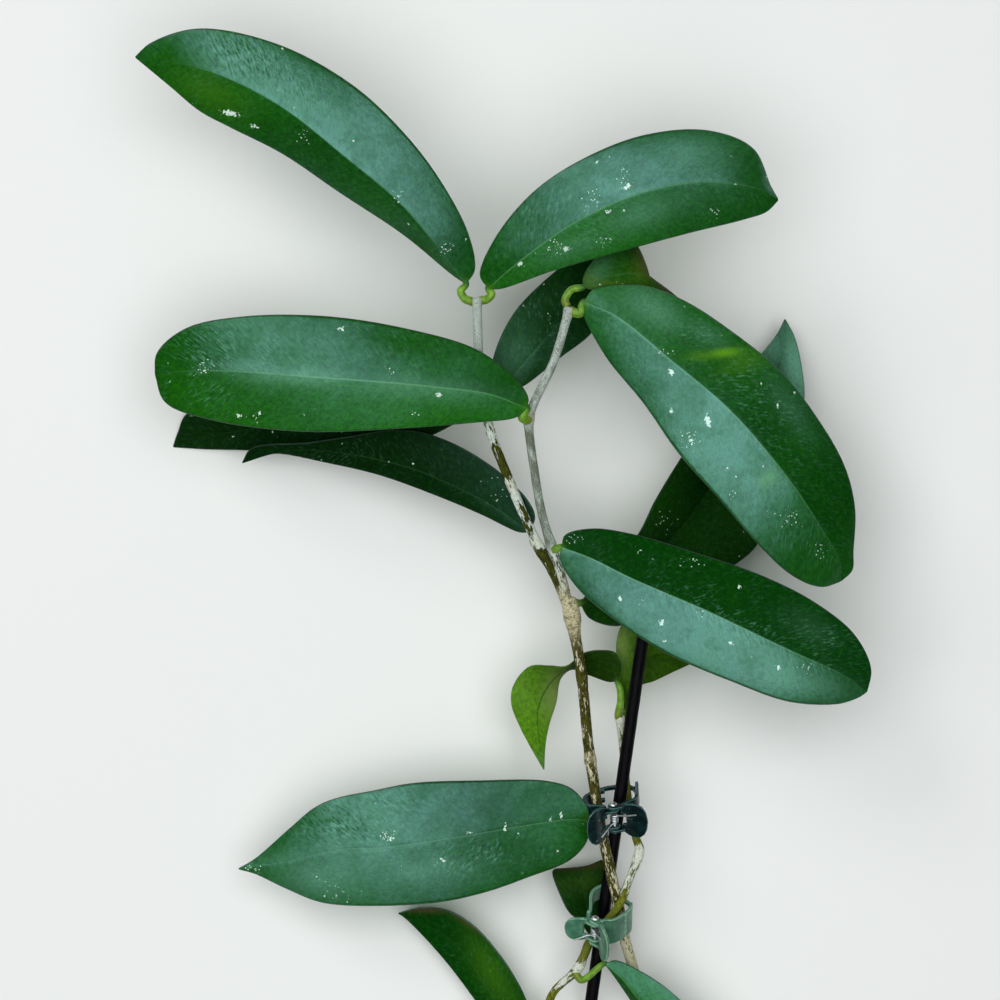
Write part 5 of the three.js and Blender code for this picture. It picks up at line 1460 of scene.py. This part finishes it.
def rounded(piece):
    """The piece's mesh after an even remesh and a few rounds of smoothing."""
    remesh = piece.modifiers.new("even mesh", "REMESH")
    remesh.mode = "VOXEL"
    remesh.voxel_size = VOXEL * MM
    remesh.use_smooth_shade = True
    soften = piece.modifiers.new("rounded edges", "SMOOTH")
    soften.factor = 0.5
    soften.iterations = SOFTENED
    bpy.context.view_layer.update()
    fine = bpy.data.meshes.new_from_object(piece.evaluated_get(bpy.context.evaluated_depsgraph_get()))
    piece.modifiers.clear()
    return fine


def mould(node, body, skin):
    piece = bpy.data.objects.new(f"{node}_moulded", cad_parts[node].data.copy())
    bpy.context.scene.collection.objects.link(piece)
    piece.data = rounded(piece)
    piece.data.materials.clear()
    piece.data.materials.append(skin)
    seat(piece, body, node)
    print(node, "has", len(piece.data.polygons), "faces")


for clip, slot, skin in (("upper", "teal_plastic", TEAL), ("lower", "sage_plastic", SAGE)):
    mould(f"clip_{clip}_jaw_left", "plant", skin)
    mould(f"clip_{clip}_jaw_right", f"{clip}_jaw", skin)

# %% [markdown]
# ## Pins and springs
#
# Both are bright plated steel. They are made upright at the origin and then set into their clip: the
# clip's pin lies where it was plotted, and its axis is tilted towards the eye, with the clip turned round
# it and a little rolled.

# %% Steel, and where each clip sits
CLIPS = {
    "upper": {"pin": [41.1, -114.5, 28.3], "tilt": 28, "yaw": 8, "roll": 5},
    "lower": {"pin": [34.2, -155.2, 26], "tilt": 32, "yaw": -41, "roll": 0},
}


def clip_seat(clip):
    """The matrix that sets a part made upright at the origin into its clip."""
    tilt, yaw, roll = (math.radians(a) for a in (clip["tilt"] - 90, clip["yaw"], clip["roll"]))
    turn = Matrix.Rotation(roll, 4, "Z") @ Matrix.Rotation(tilt, 4, "X") @ Matrix.Rotation(yaw, 4, "Z")
    return Matrix.Translation(Vector(at(clip["pin"]))) @ turn


def steel_skin():
    skin = Finish("clip_steel")
    place = skin.node("ShaderNodeTexCoord", {}, {}, "Object")
    clouds = skin.clouds(place, 900.0, 3.0)
    colour = skin.tint(clouds.between(0.4, 0.7), from_screen(196, 202, 204), from_screen(232, 236, 238))
    return skin.end(Base_Color=colour, Metallic=1.0, Roughness=0.3 + 0.15 * clouds)


def moved(points, matrix):
    return np.array([matrix @ Vector(p) for p in points])


STEEL = steel_skin()
print("steel finish:", STEEL.name, "for the pins and springs of", list(CLIPS))

# %% [markdown]
# A pin is a turned shape: a shank with a domed head at one end and a small upset foot at the other. Its
# profile is a list of radius and height, and the tube takes one ring for each pair.

# %% Pins
PIN_SIDES = 32
PIN_PROFILE = [
    (0.02, -6.3), (0.8, -6.28), (0.92, -6.1), (0.95, -5.8), (0.6, -5.7), (0.6, 5.7), (1.35, 5.72),
    (1.5, 5.85), (1.42, 6.1), (1.2, 6.35), (0.85, 6.55), (0.45, 6.67), (0.02, 6.7),
]


def make_pin(label, clip):
    line = np.array([(0, 0, height) for _, height in PIN_PROFILE], float)
    shares = run_length(line) / run_length(line)[-1]
    radii = {share: radius for share, (radius, _) in zip(shares, PIN_PROFILE)}

    def radius_at(share, turns):
        return np.full(len(turns), radii[share])

    points, faces, _, _ = tube(line, radius_at, PIN_SIDES, 1, shares)
    turned = moved(points, clip_seat(clip))
    piece = make_piece(f"clip_{label}_pin_turned", turned, faces, {}, [(STEEL, [])])
    seat(piece, "plant", f"clip_{label}_pin")


print("a pin is", PIN_PROFILE[-1][1] - PIN_PROFILE[0][1], "mm long")

# %% [markdown]
# A spring is a wire wound round the pin with one leg on each paddle, and its free leg follows the jaw that
# opens. Here the spring is only set into its clip, on no body of the frame. Each clip then gets both.

# %% Springs, and both clips
COIL_RADIUS, COIL_WIRE, COIL_TURNS, COIL_PITCH = 1.25, 0.3, 4, 0.72
COIL_PLACES = 24
WIRE_SIDES, WIRE_STEP = 12, 0.25
LOWER_LEG = [(-5.9, -4.8, -4.3), (-3.2, -2.9, -2.6), (-1.2, -1.5, -1.65)]
UPPER_LEG = [(1.2, -1.5, 1.65), (3.4, -3.2, 2.2), (7.2, -5.7, 3.4)]


def spring_line():
    places = COIL_TURNS * COIL_PLACES + 1
    angles = -math.pi / 2 + np.linspace(0, 2 * math.pi * COIL_TURNS, places)
    rise = (np.linspace(0, COIL_TURNS, places) - COIL_TURNS / 2) * COIL_PITCH
    coil = np.stack([COIL_RADIUS * np.cos(angles), COIL_RADIUS * np.sin(angles), rise], axis=1)
    return rail([*LOWER_LEG, *coil.tolist(), *UPPER_LEG], plotted=False)


def make_spring(label, clip):
    points, faces, _, _ = tube(spring_line(), even(COIL_WIRE), WIRE_SIDES, WIRE_STEP)
    matrix = clip_seat(clip)
    piece = make_piece(f"clip_{label}_spring_wound", moved(points, matrix), faces, {}, [(STEEL, [])])
    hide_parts(f"clip_{label}_spring")
    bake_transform(piece)


for label, clip in CLIPS.items():
    make_pin(label, clip)
    make_spring(label, clip)
print("a spring's wire is", round(run_length(spring_line())[-1]), "mm long")

# %% [markdown]
# ## Floor, light and camera
#
# The cut vine lies on a plain pale floor.
# Its clouds are faint and broad: they keep a large even field from looking like paper.

# %% Floor
FLOOR_REACH = 3.0


def make_floor():
    skin = Finish("floor_pale")
    place = skin.node("ShaderNodeTexCoord", {}, {}, "Object")
    clouds = skin.clouds(place, 3.0, 3.0)
    colour = skin.tint(clouds, (0.86, 0.86, 0.85), (0.9, 0.9, 0.89))
    material = skin.end(Base_Color=colour, Roughness=0.85, Specular_IOR_Level=0.2)
    mesh = bpy.data.meshes.new("floor")
    corners = [(x * FLOOR_REACH, y * FLOOR_REACH, 0) for x, y in ((-1, -1), (1, -1), (1, 1), (-1, 1))]
    mesh.from_pydata(corners, [], [(0, 1, 2, 3)])
    mesh.materials.append(material)
    floor = bpy.data.objects.new("floor", mesh)
    bpy.context.scene.collection.objects.link(floor)


make_floor()
print("the floor reaches", FLOOR_REACH, "m each way")

# %% [markdown]
# One broad soft light high over the plant gives the blades their cool sheen: a face that points at it
# mirrors it, and a face that slopes away stays deep green. A smaller one beyond the plant's foot does the
# same for halves that lean that way. A third from the upper left shapes the stems, and the sky fills the
# shadows.

# %% Lights and sky
SKY_COLOUR = (0.93, 0.97, 1.0, 1.0)
SKY_STRENGTH = 0.06


def area_light(name, place, target, width, power, colour):
    """A soft lamp at a place, pointed at a target; width is its two sides in metres."""
    data = bpy.data.lights.new(name, "AREA")
    data.shape = "RECTANGLE"
    data.size, data.size_y = width
    data.energy = power
    data.color = colour
    lamp = bpy.data.objects.new(name, data)
    bpy.context.scene.collection.objects.link(lamp)
    lamp.location = place
    lamp.rotation_euler = (Vector(target) - Vector(place)).to_track_quat("-Z", "Y").to_euler()


area_light("sheen", (-0.22, 0.12, 2.1), (-0.22, 0.12, 0), (3.05, 2.15), 50, (0.97, 1.0, 1.0))
area_light("low", (-0.1, -1.6, 2.1), (-0.1, -1.6, 0), (1.6, 1.3), 6, (0.97, 1.0, 1.0))
area_light("key", (-1.4, 1.5, 1.5), (0, 0, 0), (0.9, 0.9), 12, (1.0, 0.99, 0.96))
sky = bpy.data.worlds.new("sky")
sky.use_nodes = True
background = sky.node_tree.nodes["Background"]
background.inputs["Color"].default_value = SKY_COLOUR
background.inputs["Strength"].default_value = SKY_STRENGTH
bpy.context.scene.world = sky
bpy.context.scene.view_settings.view_transform = "Standard"

# %% [markdown]
# The camera looks straight down from the height that the places were plotted for. Its lens is long, so
# from up there the plant just fills the picture.

# %% Camera
lens = bpy.data.cameras.new("camera")
lens.sensor_width = 36
lens.lens = 150
lens.clip_end = 20
camera = bpy.data.objects.new("camera", lens)
bpy.context.scene.collection.objects.link(camera)
camera.location = Vector((*SHIFT[:2], EYE_HEIGHT + SHEET_HEIGHT)) * MM
bpy.context.scene.camera = camera
print("camera at", tuple(round(c, 4) for c in camera.location))
